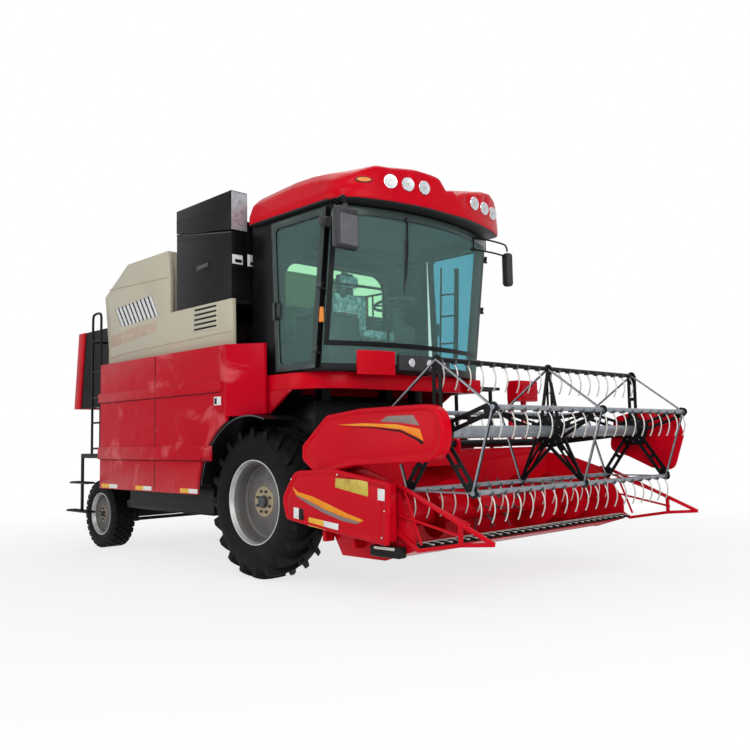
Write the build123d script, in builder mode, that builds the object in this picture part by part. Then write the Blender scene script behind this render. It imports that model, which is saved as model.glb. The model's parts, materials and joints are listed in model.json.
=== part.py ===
# A wheeled combine harvester with its grain header raised.
# X points forward, Y to the machine's left and Z up, in millimetres. The machine is laid out from the
# point on the ground below the middle of its front axle, and moved at the end so that the origin is
# the middle of the whole machine's footprint.
import os
from math import atan2, cos, degrees, hypot, pi, radians, sin

from build123d import *

# ---------------------------------------------------------------- driving dimensions
# Running gear
wheelbase = 3090
front_track = 2080
front_tyre_radius = 645
front_tyre_width = 380
front_rim_radius = 346
rear_track = 1940
rear_tyre_radius = 377
rear_tyre_width = 260
rear_rim_radius = 220
rim_wall = 8
front_lugs = 20
rear_lugs = 18
lug_height = 35
bolt_count = 8
axle_radius = 90
stub_radius = 55
spindle_radius = 35
kingpin_radius = 25
kingpin_spacing = 1520
steer_arm = 160
steer_arm_wall = 16
shaft_clearance = 0.05
running_gap = 6

# Chassis and body
rail_height = 140
rail_width = 80
rail_spacing = 940
body_half_width = 780
body_front = 300
body_rear = -2700
body_top = 1500
walker_half_width = 540
walker_rear = -3300
walker_top = 1575
pan_bottom = 520
outrigger = 60
sill_height = 80
sill_bottom = 470
sill_y = 1000
hitch_radius = 16
hitch_wall = 30
panel_outer = 1300
panel_wall = 30
panel_rear = -2674
panel_front = -274
panel_bottom = 687
panel_top = 2011
rib_depth = 20
corner_front = 0
corner_y = 1090
corner_bottom = 1380
shroud_outer = 1190
shroud_wall = 40
tank_wall = 25
tank_front = -1450
tank_rear = body_rear
tank_top = 3070
hood_rear = -3780
hood_top = 2470
hood_half_width = 1100
hood_wall = 30
hood_strip = 160
hood_lean = 110
hood_recess = 15
deck_top = 2440
deck_wall = 40
box_height = 992

# Cab
floor_top = 1728
floor_wall = 40
skirt_bottom = 1589
floor_margin = 44
floor_front = 685
floor_rear = -320
cab_half_width = 1000
cab_rear = -290
cab_sill = 62
cab_head_low = 3010
cab_head_high = 3100
pillar = 70
pillar_foot = 650
pillar_head = 800
screen_bow = 220
screen_glass = 8
door_gap = 5
door_wall = 30
door_rim = 60
door_low = 1750
door_high = 3060
door_rear = 60
door_setback = 30
hinge_pin = 6
hinge_barrel = 14
hinge_heights = (1880, 2400, 2900)
roof_half_width = 1050
roof_front = 1195
roof_corner = 960
roof_rise = 350
roof_dip = 160
roof_edge = 90
roof_tail = 210
brow_x = 600
brow_y = 480
lamp_radius = 55
lamp_rise = 190
lamp_places = (300, 480, 660)

# Header and reel
lift_x = 480
lift_z = 1150
feeder_radius = 165
feeder_half_width = 330
feeder_wall = 20
feeder_mouth = (570, 940)
table_right = -1185
table_left = 1670
sheet = 20
table_back = 990
cutter_x = 1800
cutter_z = 410
auger_x = 1350
auger_z = 600
auger_drum = 110
auger_radius = 225
auger_pitch = 480
flight_wall = 8
reel_x = 2000
reel_z = 1200
reel_radius = 500
reel_pivot_x = 1010
reel_pivot_z = 1110
reel_tube = 45
bar_radius = 17.5
bar_count = 5
tine_count = 24
tine_length = 200
tine_bow = 22
arm_wall = 50
reel_shaft = 30

# Header lift cylinders: pins at the axle and under the feeder
ram_base = (130, 560)
ram_eye = (900, 540)
ram_y = 230
ram_pin = 20
ram_rod = 22
ram_fork = 46
barrel_radius = 42
barrel_length = 430
barrel_blind = 120
rod_back = 500
eye_slack = 9

# Unloading auger
spout_x = -1380
spout_y = 1335
spout_z = 2760
spout_radius = 95
spout_rear = -3650

# Derived places
front_axle_z = front_tyre_radius
rear_axle_x = -wheelbase
rear_axle_z = rear_tyre_radius
rail_bottom = front_axle_z + axle_radius
rail_top = rail_bottom + rail_height
rail_outer = rail_spacing / 2 + rail_width / 2
rail_inner = rail_spacing / 2 - rail_width / 2
panel_inner = panel_outer - panel_wall
shroud_inner = shroud_outer - shroud_wall
cab_foot = floor_top + cab_sill
lean = (pillar_head - pillar_foot) / (cab_head_low - cab_foot)
arch_radius = front_tyre_radius + 95
floor_half_width = cab_half_width + floor_margin
roof_low = cab_head_high
roof_peak = roof_low + roof_rise
lamp_z = roof_low + lamp_rise
box_top = deck_top + box_height
hinge_y = cab_half_width + door_gap + door_wall + 10
hitch_place = (rear_axle_x - 240, 0, rail_bottom + 55)


# ---------------------------------------------------------------- shared shapes
def block(x, y, z, mode=Mode.ADD):
    """A box between low and high values on each axis."""
    with Locations(((x[0] + x[1]) / 2, (y[0] + y[1]) / 2, (z[0] + z[1]) / 2)):
        Box(x[1] - x[0], y[1] - y[0], z[1] - z[0], mode=mode)


def side_outline(points, y, mode=Mode.ADD):
    """An X, Z outline extruded between two Y values."""
    with BuildSketch(Plane.XZ.offset(-y[1])) as outline:
        with BuildLine():
            Polyline(*points, close=True)
        make_face()
    extrude(outline.sketch, amount=y[1] - y[0], mode=mode)


def bent_strip(points, thickness, y, mode=Mode.ADD):
    """A strip of even thickness that follows X, Z points, extruded between two Y values."""
    with BuildSketch(Plane.XZ.offset(-y[1])) as strip:
        for start, end in zip(points, points[1:]):
            run = hypot(end[0] - start[0], end[1] - start[1])
            tilt = degrees(atan2(end[1] - start[1], end[0] - start[0]))
            with Locations(Location(((start[0] + end[0]) / 2, (start[1] + end[1]) / 2), tilt)):
                Rectangle(run, thickness)
        with Locations(*points[1:-1]):
            Circle(thickness / 2)
    extrude(strip.sketch, amount=y[1] - y[0], mode=mode)


def disc_y(x, z, radius, y, mode=Mode.ADD):
    """A cylinder along Y."""
    with BuildSketch(Plane.XZ.offset(-y[1])) as disc:
        with Locations((x, z)):
            Circle(radius)
    extrude(disc.sketch, amount=y[1] - y[0], mode=mode)


def rod(start, end, radius, mode=Mode.ADD):
    """A round bar between two points."""
    way = Vector(*end) - Vector(*start)
    with BuildSketch(Plane(origin=start, z_dir=way)) as section:
        Circle(radius)
    extrude(section.sketch, amount=way.length, mode=mode)


def ring_y(x, z, profile):
    """A turned part about a Y axis, from (Y, radius) points."""
    with BuildSketch(Plane(origin=(x, 0, z), x_dir=(0, 1, 0), z_dir=(1, 0, 0))) as section:
        with BuildLine():
            Polyline(*profile, close=True)
        make_face()
    revolve(section.sketch, axis=Axis((x, 0, z), (0, 1, 0)))


def rounded_side(points, radii, y, mode=Mode.ADD):
    """An X, Z outline with a radius for each corner, extruded between two Y values."""
    with BuildSketch(Plane.XZ.offset(-y[1])) as outline:
        with BuildLine():
            FilletPolyline(*points, radius=radii, close=True)
        make_face()
    extrude(outline.sketch, amount=y[1] - y[0], mode=mode)


def flat_skinned(sections, whole=False):
    """A solid through a row of flat sections, skinned in triangles, or in whole quads where those are flat."""
    faces = [Face(Wire.make_polygon(sections[0])), Face(Wire.make_polygon(sections[-1]))]
    for here, there in zip(sections, sections[1:]):
        for corner, after in enumerate((*range(1, len(here)), 0)):
            quad = (here[corner], here[after], there[after], there[corner])
            parts = (quad,) if whole else (quad[:3], (quad[0], quad[2], quad[3]))
            faces += [Face(Wire.make_polygon(part)) for part in parts]
    return Solid(Shell(faces))


def on_circle(x, z, radius, turn, y):
    """A point beside a Y axis, at an angle in degrees from +X towards +Z."""
    return (x + radius * cos(radians(turn)), y, z + radius * sin(radians(turn)))


def pillar_front(z):
    """X of the front pillar's leaning front face at a height."""
    return pillar_foot + lean * (z - cab_foot)


def hinge_x(z):
    """X of the door hinges' leaning axis at a height."""
    return pillar_front(z) - 8


def feeder_bottom(x):
    """Z of the feeder's sloping underside."""
    share = (x - lift_x) / (table_back - sheet / 2 - lift_x)
    return (lift_z - feeder_radius) * (1 - share) + feeder_mouth[0] * share


def along_ram(distance, side):
    """A point on a cylinder's axis, at a distance from the pin at its base."""
    length = hypot(ram_eye[0] - ram_base[0], ram_eye[1] - ram_base[1])
    return (ram_base[0] + (ram_eye[0] - ram_base[0]) * distance / length, side * ram_y,
            ram_base[1] + (ram_eye[1] - ram_base[1]) * distance / length)


pieces = {}


# ---------------------------------------------------------------- chassis and axles
with BuildPart() as chassis_frame:
    for side in (-1, 1):
        rail_y = side * rail_spacing / 2
        block((rear_axle_x - 60, 150), (rail_y - rail_width / 2, rail_y + rail_width / 2), (rail_bottom, rail_top))
    block((rear_axle_x - 80, rear_axle_x + 80), (-rail_inner, rail_inner), (rail_bottom, rail_top))
    hitch_z = (hitch_place[2] - hitch_wall / 2, hitch_place[2] + hitch_wall / 2)
    block((hitch_place[0] - 45, rear_axle_x - 60), (-60, 60), hitch_z)
    rod((hitch_place[0], 0, hitch_z[0]), (hitch_place[0], 0, hitch_z[1]), hitch_radius, mode=Mode.SUBTRACT)
pieces["chassis_frame"] = chassis_frame

with BuildPart() as side_frames:
    for side in (-1, 1):
        reach = sorted((side * rail_outer, side * panel_inner))
        hanger = (side * sill_y - sill_height / 2, side * sill_y + sill_height / 2)
        for frame_x in (-900, -1650, -2400):
            span = (frame_x - outrigger / 2, frame_x + outrigger / 2)
            block(span, reach, (rail_top - 20 - outrigger, rail_top - 20))
            block(span, hanger, (sill_bottom, rail_top - 20))
        block((-2560, -870), hanger, (sill_bottom, sill_bottom + sill_height))
pieces["side_frames"] = side_frames

hub_face = front_track / 2 - 20
with BuildPart() as drive_axle:
    rod((0, -800, front_axle_z), (0, 800, front_axle_z), axle_radius)
    for side in (-1, 1):
        pad_y = side * rail_spacing / 2
        block((-100, 100), (pad_y - rail_width / 2, pad_y + rail_width / 2), (front_axle_z, rail_bottom))
        rod((0, side * 700, front_axle_z), (0, side * 835, front_axle_z), 170)
        rod((0, side * 835, front_axle_z), (0, side * (hub_face + 60), front_axle_z), stub_radius)
        for edge in (-1, 1):
            ear = sorted((side * ram_y + edge * ram_fork, side * ram_y + edge * (ram_fork + 15)))
            side_outline([(0, front_axle_z - axle_radius), (0, front_axle_z), (ram_base[0] + 30, ram_base[1] + 30),
                          (ram_base[0] + 30, ram_base[1] - 30)], ear)
        disc_y(*ram_base, ram_pin, (side * ram_y - ram_fork - 10, side * ram_y + ram_fork + 10))
pieces["drive_axle"] = drive_axle

kingpin_y = kingpin_spacing / 2
knuckle_half = 80
with BuildPart() as rear_axle:
    block((rear_axle_x - 60, rear_axle_x + 60), (100 - kingpin_y, kingpin_y - 100), (rear_axle_z - 60, rear_axle_z + 60))
    block((rear_axle_x - 60, rear_axle_x + 60), (-120, 120), (rear_axle_z, rail_bottom))
    for side in (-1, 1):
        ends = sorted((side * (kingpin_y - 120), side * (kingpin_y + 45)))
        block((rear_axle_x - 45, rear_axle_x + 45), ends, (rear_axle_z + knuckle_half + 2, rear_axle_z + knuckle_half + 32))
        block((rear_axle_x - 45, rear_axle_x + 45), ends, (rear_axle_z - knuckle_half - 32, rear_axle_z - knuckle_half - 2))
        root = sorted((side * (kingpin_y - 120), side * (kingpin_y - 65)))
        block((rear_axle_x - 45, rear_axle_x + 45), root, (rear_axle_z - knuckle_half - 32, rear_axle_z + knuckle_half + 32))
        pin_y = side * kingpin_y
        rod((rear_axle_x, pin_y, rear_axle_z - knuckle_half - 20),
            (rear_axle_x, pin_y, rear_axle_z + knuckle_half + 20), kingpin_radius)
pieces["rear_axle"] = rear_axle

arm_low = rear_axle_z - knuckle_half
for name, side in (("knuckle_right", -1), ("knuckle_left", 1)):
    pin_y = side * kingpin_y
    with BuildPart() as knuckle:
        rod((rear_axle_x, pin_y, arm_low), (rear_axle_x, pin_y, rear_axle_z + knuckle_half), 50)
        rod((rear_axle_x, pin_y, rear_axle_z), (rear_axle_x, side * (rear_track / 2 + 20), rear_axle_z), spindle_radius)
        block((rear_axle_x - steer_arm - 30, rear_axle_x - 20), (pin_y - 22, pin_y + 22),
              (arm_low, arm_low + steer_arm_wall))
        rod((rear_axle_x, pin_y, arm_low), (rear_axle_x, pin_y, rear_axle_z + knuckle_half),
            kingpin_radius + shaft_clearance, mode=Mode.SUBTRACT)
    pieces[name] = knuckle

with BuildPart() as tie_rod:
    rod_z = arm_low - running_gap - 20
    rod((rear_axle_x - steer_arm, -kingpin_y - 30, rod_z), (rear_axle_x - steer_arm, kingpin_y + 30, rod_z), 20)
pieces["tie_rod"] = tie_rod

# ---------------------------------------------------------------- wheels
# The tyres are flat-sided, with one side of the carcass for each bar of the tread. The front bars slant from
# the middle to the shoulder, as (share of half the width, lag in steps, drop), and the rear blocks are square.
front_bar = ((-0.05, 0, 0), (0.5, 0.45, 0), (0.88, 0.95, 14))
rear_bar = ((0.05, 0, 0), (0.8, 0, 0))
# end, axle X, axle Z, track, tyre radius, tyre width, rim radius, bore, bars on each side, bar, its share of a step
wheel_table = (
    ("front", 0, front_axle_z, front_track, front_tyre_radius, front_tyre_width, front_rim_radius, stub_radius,
     front_lugs, front_bar, 0.3, lug_height),
    ("rear", rear_axle_x, rear_axle_z, rear_track, rear_tyre_radius, rear_tyre_width, rear_rim_radius,
     spindle_radius, rear_lugs, rear_bar, 0.62, lug_height / 2),
)
for (end, wheel_x, wheel_z, track, tyre_radius, tyre_width, rim_radius, bore, lugs, stations, thick,
     tread) in wheel_table:
    middle = -track / 2
    half = tyre_width / 2
    seat = half - 25
    flange = rim_radius + 16
    carcass = tyre_radius - tread
    step = 360 / lugs
    bead_radius = flange / cos(pi / lugs)
    with BuildPart() as tyre:
        profile = ((-seat, bead_radius), (-half, (flange + carcass) / 2), (30 - half, carcass - 12),
                   (half - 30, carcass - 12), (half, (flange + carcass) / 2), (seat, bead_radius))
        add(flat_skinned([[on_circle(wheel_x, wheel_z, radius, step * corner, middle + y) for corner in range(lugs)]
                          for y, radius in profile], whole=True))
        with BuildSketch(Plane.XZ.offset(-middle - seat)) as bead:
            with Locations((wheel_x, wheel_z)):
                RegularPolygon(rim_radius + shaft_clearance, lugs, major_radius=False)
        extrude(bead.sketch, amount=2 * seat, mode=Mode.SUBTRACT)
        bars = []
        for edge in (-1, 1):
            for lug in range(lugs):
                start = 270 + step * (lug + 0.25 * (1 - edge))
                sections = []
                for share, lag, drop in stations:
                    low = carcass - 40 - drop
                    high = tyre_radius - drop
                    turns = (start + step * lag, start + step * (lag + thick))
                    corners = ((low, turns[0]), (low, turns[1]), (high, turns[1]), (high, turns[0]))
                    sections.append([on_circle(wheel_x, wheel_z, radius, turn, middle + edge * half * share)
                                     for radius, turn in corners])
                bars.append(flat_skinned(sections, whole=len(stations) == 2))
        add(bars)
    with BuildPart() as rim:
        barrel = rim_radius - rim_wall
        ring_y(wheel_x, wheel_z, [(middle - seat, barrel), (middle + seat, barrel), (middle + seat, rim_radius),
                                  (middle - seat, rim_radius)])
        for edge in (-1, 1):
            lip = sorted((middle + edge * seat, middle + edge * (seat + rim_wall)))
            ring_y(wheel_x, wheel_z, [(lip[0], barrel), (lip[1], barrel), (lip[1], flange), (lip[0], flange)])
        web = (middle + 8, middle + 20)
        ring_y(wheel_x, wheel_z, [(web[0], bore + 10), (web[1], bore + 10), (web[1], barrel), (web[0], barrel)])
        for bolt in range(bolt_count):
            bolt_x, _, bolt_z = on_circle(wheel_x, wheel_z, bore + 75, 360 * (bolt + 0.5) / bolt_count, 0)
            disc_y(bolt_x, bolt_z, 13, (middle - 10, web[0]))
        hub = (middle - 45, middle + 60)
        ring_y(wheel_x, wheel_z, [(hub[0], bore + shaft_clearance), (hub[1], bore + shaft_clearance),
                                  (hub[1], bore + 45), (hub[0], bore + 45)])
    for name, piece in ((f"{end}_tyre", tyre), (f"{end}_rim", rim)):
        pieces[f"{name}_right"] = piece
        with BuildPart() as twin:
            add(mirror(piece.part, about=Plane.XZ, mode=Mode.PRIVATE))
        pieces[f"{name}_left"] = twin

# ---------------------------------------------------------------- threshing body, hood and panels
with BuildPart() as threshing_housing:
    block((body_rear, body_front), (-body_half_width, body_half_width), (rail_top, body_top))
    block((walker_rear, body_rear), (-walker_half_width, walker_half_width), (rail_top, walker_top))
    pan_half = rail_inner - running_gap
    side_outline([(body_rear, rail_top), (body_rear, rail_bottom), (-2100, pan_bottom), (-700, pan_bottom),
                  (-320, rail_bottom), (-320, rail_top)], (-pan_half, pan_half))
    for side in (-1, 1):
        ear = sorted((side * (feeder_half_width + 15), side * (feeder_half_width + 55)))
        block((body_front, lift_x), ear, (lift_z - 60, lift_z + 60))
        disc_y(lift_x, lift_z, 60, ear)
        disc_y(lift_x, lift_z, shaft_clearance + 30, ear, mode=Mode.SUBTRACT)
pieces["threshing_housing"] = threshing_housing

tank_profile = [(tank_front, body_top), (tank_rear, body_top), (tank_rear, 2190), (-2810, 2780), (-2290, tank_top),
                (tank_front, tank_top)]
tank_half = shroud_inner
with BuildPart() as grain_tank:
    side_outline(tank_profile, (-tank_half, tank_half))
    side_outline([(tank_front - tank_wall, body_top + tank_wall), (tank_rear + tank_wall, body_top + tank_wall),
                  (tank_rear + tank_wall, 2190), (-2780, 2770), (-2270, 3040), (-2270, tank_top + 10),
                  (tank_front - tank_wall, tank_top + 10)], (tank_wall - tank_half, tank_half - tank_wall),
                 mode=Mode.SUBTRACT)
pieces["grain_tank"] = grain_tank

with BuildPart() as side_panels:
    for side in (-1, 1):
        skin = sorted((side * panel_inner, side * panel_outer))
        rib = sorted((side * panel_outer, side * (panel_outer + rib_depth)))
        side_outline([(panel_rear, panel_bottom), (panel_rear, panel_top), (panel_front, panel_top),
                      (panel_front, panel_bottom)], skin)
        for low, high in ((1603, 1693), (996, 1126)):
            block((panel_rear - 15, panel_front - 60), rib, (low, high))
        ledge = sorted((side * shroud_inner, side * panel_inner))
        block((panel_rear, panel_front), ledge, (panel_top - 21, panel_top))
        with BuildSketch(Plane.XY.offset(corner_bottom)):
            with BuildLine():
                Polyline((panel_front, side * panel_outer), (corner_front, side * corner_y),
                         (corner_front, side * (corner_y - panel_wall)), (panel_front, side * panel_inner), close=True)
            make_face()
        extrude(amount=panel_top - corner_bottom)
        arch = sorted((side * (floor_half_width - panel_wall), side * floor_half_width))
        side_outline([(panel_front - 60, skirt_bottom), (panel_front - 60, 1240), (-90, 1340), (240, 1550),
                      (300, skirt_bottom)], arch)
        joint = sorted((side * (floor_half_width - panel_wall), side * (corner_y + 20)))
        block((panel_front - 60, panel_front - 30), joint, (corner_bottom, skirt_bottom))
        block((panel_front - 60, panel_front), sorted((side * corner_y, side * panel_inner)), (corner_bottom, skirt_bottom))
    disc_y(0, front_axle_z, arch_radius + 10, (-panel_outer - 60, panel_outer + 60), mode=Mode.SUBTRACT)
pieces["side_panels"] = side_panels

with BuildPart() as upper_panels:
    for side in (-1, 1):
        skin = sorted((side * shroud_inner, side * shroud_outer))
        side_outline([(-2710, panel_top), (-2710, 2190), (-2810, 2780), (-2290, tank_top), (tank_front, tank_top),
                      (-1410, 2790), (-1410, deck_top), (-336, deck_top), (-330, panel_top)], skin)
        side_outline([(-2590, 2625), (-1780, 2665), (-1630, 2440), (-2430, 2410)], skin, mode=Mode.SUBTRACT)
        for slat in range(10):
            slat_x = -2555 + slat * 87
            side_outline([(slat_x, 2627), (slat_x + 25, 2629), (slat_x + 190, 2410), (slat_x + 160, 2408)],
                         sorted((side * shroud_inner, side * (shroud_inner + 25))))
        for slot in range(5):
            slot_z = 2235 + slot * 33
            block((-965, -584), skin, (slot_z, slot_z + 14), mode=Mode.SUBTRACT)
pieces["upper_panels"] = upper_panels

with BuildPart() as engine_deck:
    block((tank_front, -350), (-shroud_inner, shroud_inner), (deck_top - deck_wall, deck_top))
    block((-390, -350), (-body_half_width, body_half_width), (body_top, deck_top - deck_wall))
pieces["engine_deck"] = engine_deck

with BuildPart() as engine_block:
    block((-1250, -550), (-420, 420), (body_top, body_top + 700))
pieces["engine_block"] = engine_block

with BuildPart() as radiator_box:
    block((-1295, -355), (-shroud_outer, -750), (deck_top, box_top))
    block((-1000, -680), (-shroud_outer, 10 - shroud_outer), (deck_top + 490, deck_top + 550), mode=Mode.SUBTRACT)
    for fold in range(3):
        fold_z = box_top - 112 - fold * 120
        block((-1295, -355), (-shroud_outer, 6 - shroud_outer), (fold_z, fold_z + 12), mode=Mode.SUBTRACT)
pieces["radiator_box"] = radiator_box

with BuildPart() as exhaust_stack:
    rod((-700, 500, deck_top), (-700, 500, deck_top + 480), 95)
    rod((-700, 500, deck_top + 480), (-700, 500, deck_top + 840), 38)
pieces["exhaust_stack"] = exhaust_stack

def hood_outline(inset):
    """The hood's side outline, with its leaning back, drawn in by a distance."""
    return [(hood_rear + inset, walker_top), (hood_rear + hood_lean + inset, hood_top - min(inset, hood_wall)),
            (tank_rear, hood_top - min(inset, hood_wall)), (tank_rear, walker_top)]


with BuildPart() as rear_hood:
    side_outline(hood_outline(0), (-hood_half_width, hood_half_width))
    side_outline(tank_profile, (-tank_half, tank_half), mode=Mode.SUBTRACT)
    side_outline(hood_outline(hood_wall)[:2] + [(tank_rear - hood_wall, hood_top - hood_wall),
                                                (tank_rear - hood_wall, walker_top)],
                 (hood_wall - hood_half_width, hood_half_width - hood_wall), mode=Mode.SUBTRACT)
    for side in (-1, 1):
        dent = sorted((side * (hood_half_width - hood_recess), side * (hood_half_width + 1)))
        side_outline([(hood_rear + hood_strip, walker_top), (hood_rear + hood_lean + hood_strip, hood_top),
                      (tank_rear, hood_top), (tank_rear, walker_top)], dent, mode=Mode.SUBTRACT)
        floor_y = sorted((side * (walker_half_width - 60), side * (hood_half_width - hood_wall)))
        block((walker_rear, tank_rear - hood_wall), floor_y, (walker_top, walker_top + hood_wall))
pieces["rear_hood"] = rear_hood

ladder_y = -1275
ladder_tube = 14
ladder_top = 2600
ladder_foot = 1030
ladder_rails = (-2720, -2920)
ladder_post = (-3150, -3110)
with BuildPart() as rear_ladder:
    for rail_x in ladder_rails:
        rod((rail_x, ladder_y, ladder_foot), (rail_x, ladder_y, ladder_top), ladder_tube)
    for rung_z in (1110, 1390, 1670, 1950, 2290, ladder_top):
        block((ladder_rails[1], ladder_rails[0]), (ladder_y - 12, ladder_y + 12), (rung_z - 12, rung_z + 12))
    for rail_x, bracket_z in ((ladder_rails[0], 1670), (ladder_rails[1], 1670), (ladder_rails[1], 2290)):
        block((rail_x - 12, rail_x + 12), (ladder_y, hood_recess - hood_half_width), (bracket_z - 12, bracket_z + 12))
    block((ladder_post[0], ladder_rails[0] + 12), (ladder_y - 20, ladder_y + 4), (ladder_foot - 25, ladder_foot + 25))
    block(ladder_post, (ladder_y - 20, ladder_y + 4), (430, ladder_foot))
    for step_z, step_front, step_rear in ((740, -2830, -3240), (430, -2800, -3320)):
        block((step_rear, step_front), (ladder_y - 110, ladder_y + 4), (step_z - 12, step_z + 12))
pieces["rear_ladder"] = rear_ladder

# ---------------------------------------------------------------- cab
with BuildPart() as cab_platform:
    with BuildSketch(Plane.XY.offset(skirt_bottom)) as deck_plan:
        with BuildLine():
            Polyline((floor_rear + 330, -floor_half_width), (floor_rear, -floor_half_width),
                     (floor_rear, floor_half_width), (floor_front - 400, floor_half_width))
            ThreePointArc((floor_front - 400, floor_half_width), (floor_front - 110, 900), (floor_front, 610))
            Line((floor_front, 610), (floor_front, -610))
            ThreePointArc((floor_front, -610), (floor_front - 110, -900), (floor_front - 400, -floor_half_width))
            Line((floor_front - 400, -floor_half_width), (floor_rear + 330, -floor_half_width))
        make_face()
    extrude(amount=floor_top - skirt_bottom)
    with BuildSketch(Plane.XY.offset(skirt_bottom)):
        offset(deck_plan.sketch, amount=-floor_wall)
    extrude(amount=floor_top - floor_wall - skirt_bottom, mode=Mode.SUBTRACT)
    for post_x in (-200, 200):
        for side in (-1, 1):
            block((post_x - 50, post_x + 50), (side * 600 - 50, side * 600 + 50), (body_top, floor_top - floor_wall))
pieces["cab_platform"] = cab_platform

steps_inner = panel_inner + 10
with BuildPart() as entry_steps:
    for step_x in (150, 600):
        block((step_x - 15, step_x + 15), (steps_inner, steps_inner + 30), (450, 1650))
        block((step_x - 15, step_x + 15), (floor_half_width, steps_inner), (1620, 1650))
    block((165, 585), (floor_half_width, 1480), (1640, 1670))
    for step_z in (480, 770, 1060, 1350):
        block((135, 615), (steps_inner + 30, steps_inner + 180), (step_z, step_z + 30))
pieces["entry_steps"] = entry_steps


def cab_ring(corner, low, high):
    """A ring around the cab whose front is bowed, with its front corners at the given X."""
    with BuildSketch(Plane.XY.offset(low)) as outer:
        with BuildLine():
            Polyline((corner, -cab_half_width), (cab_rear, -cab_half_width), (cab_rear, cab_half_width),
                     (corner, cab_half_width))
            ThreePointArc((corner, cab_half_width), (corner + screen_bow, 0), (corner, -cab_half_width))
        make_face()
        offset(amount=-pillar, mode=Mode.SUBTRACT)
    extrude(outer.sketch, amount=high - low)


glass_foot = pillar_foot + screen_glass
glass_head = pillar_head + screen_glass
with BuildPart() as cab_frame:
    cab_ring(glass_foot, floor_top, cab_foot)
    cab_ring(glass_head, cab_head_low, cab_head_high)
    for side in (-1, 1):
        post = sorted((side * (cab_half_width - pillar), side * cab_half_width))
        side_outline([(pillar_foot, cab_foot), (pillar_head, cab_head_low), (pillar_head - pillar, cab_head_low),
                      (pillar_foot - pillar, cab_foot)], post)
        quarter = sorted((side * (cab_half_width - 40), side * cab_half_width))
        block((cab_rear, door_rear - 20), quarter, (cab_foot, cab_head_low))
        for height in hinge_heights:
            pin_x = hinge_x(height)
            block((pin_x - 12, pin_x + 12), sorted((side * cab_half_width, side * (hinge_y + hinge_barrel))),
                  (height - 20, height))
            rod((hinge_x(height - 10), side * hinge_y, height - 10), (hinge_x(height + 45), side * hinge_y, height + 45),
                hinge_pin)
    block((cab_rear, cab_rear + 40), (40 - cab_half_width, cab_half_width - 40), (cab_foot, cab_head_low))
    with BuildSketch(Plane.YZ.offset(cab_rear)):
        with Locations((0, 2480)):
            RectangleRounded(1300, 720, 160)
    extrude(amount=40, mode=Mode.SUBTRACT)
pieces["cab_frame"] = cab_frame

with BuildPart() as windscreen:
    for height, corner in ((cab_foot, pillar_foot), (cab_head_low, pillar_head)):
        with BuildSketch(Plane.XY.offset(height)):
            with BuildLine():
                ThreePointArc((corner, cab_half_width), (corner + screen_bow, 0), (corner, -cab_half_width))
                Line((corner, -cab_half_width), (corner + screen_glass, -cab_half_width))
                ThreePointArc((corner + screen_glass, -cab_half_width), (corner + screen_bow + screen_glass, 0),
                              (corner + screen_glass, cab_half_width))
                Line((corner + screen_glass, cab_half_width), (corner, cab_half_width))
            make_face()
    loft(ruled=True)
pieces["windscreen"] = windscreen

with BuildPart() as cab_roof:
    with BuildSketch(Plane.YZ.offset(cab_rear - 10)):
        with BuildLine():
            Polyline((0, roof_peak - roof_dip), (0, roof_low), (roof_half_width, roof_low),
                     (roof_half_width, roof_low + roof_edge))
            ThreePointArc((roof_half_width, roof_low + roof_edge), (brow_y, roof_peak), (0, roof_peak - roof_dip))
        make_face()
    extrude(amount=roof_front - cab_rear + 10)
    mirror(about=Plane.XZ)
    with BuildSketch(Plane.XZ.offset(-roof_half_width - 10)):
        with BuildLine():
            Polyline((cab_rear - 10, roof_low + roof_tail), (cab_rear - 10, roof_low), (roof_front - 10, roof_low),
                     (roof_front, roof_low + roof_tail + 40))
            ThreePointArc((roof_front, roof_low + roof_tail + 40), (brow_x, roof_peak + 40),
                          (cab_rear - 10, roof_low + roof_tail))
        make_face()
    extrude(amount=2 * roof_half_width + 20, mode=Mode.INTERSECT)
    with BuildSketch(Plane.XY.offset(roof_low)):
        with BuildLine():
            Polyline((roof_corner, -roof_half_width), (cab_rear - 10, -roof_half_width),
                     (cab_rear - 10, roof_half_width), (roof_corner, roof_half_width))
            ThreePointArc((roof_corner, roof_half_width), (roof_front, 0), (roof_corner, -roof_half_width))
        make_face()
    extrude(amount=roof_rise + 100, mode=Mode.INTERSECT)
    for side in (-1, 1):
        for lamp_y in lamp_places:
            rod((roof_front - 180, side * lamp_y, lamp_z), (roof_front + 40, side * lamp_y, lamp_z), lamp_radius + 1,
                mode=Mode.SUBTRACT)
pieces["cab_roof"] = cab_roof

with BuildPart() as roof_lamps:
    for side in (-1, 1):
        for lamp_y in lamp_places:
            rod((roof_front - 180, side * lamp_y, lamp_z), (roof_front - 50, side * lamp_y, lamp_z), lamp_radius)
pieces["roof_lamps"] = roof_lamps

with BuildPart() as seat:
    block((-60, 330), (-230, 230), (floor_top, floor_top + 330))
    block((-80, 400), (-260, 260), (floor_top + 330, floor_top + 450))
    block((-150, -20), (-250, 250), (floor_top + 450, floor_top + 1050))
pieces["seat"] = seat

with BuildPart() as steering_column:
    rod((640 + 120 * 50 / 650, 0, floor_top - 50), (520, 0, floor_top + 650), 45)
    block((540, 760), (-60, 60), (floor_top - 100, floor_top), mode=Mode.SUBTRACT)
    wheel_way = Vector(-120, 0, 650).normalized()
    with BuildSketch(Plane(origin=(520, 0, floor_top + 650), z_dir=wheel_way)):
        Circle(200)
    extrude(amount=28)
pieces["steering_column"] = steering_column

with BuildPart() as console:
    block((-60, 520), (-720, -420), (floor_top, floor_top + 560))
    rod((380, -560, floor_top + 560), (440, -560, floor_top + 760), 16)
pieces["console"] = console

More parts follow.
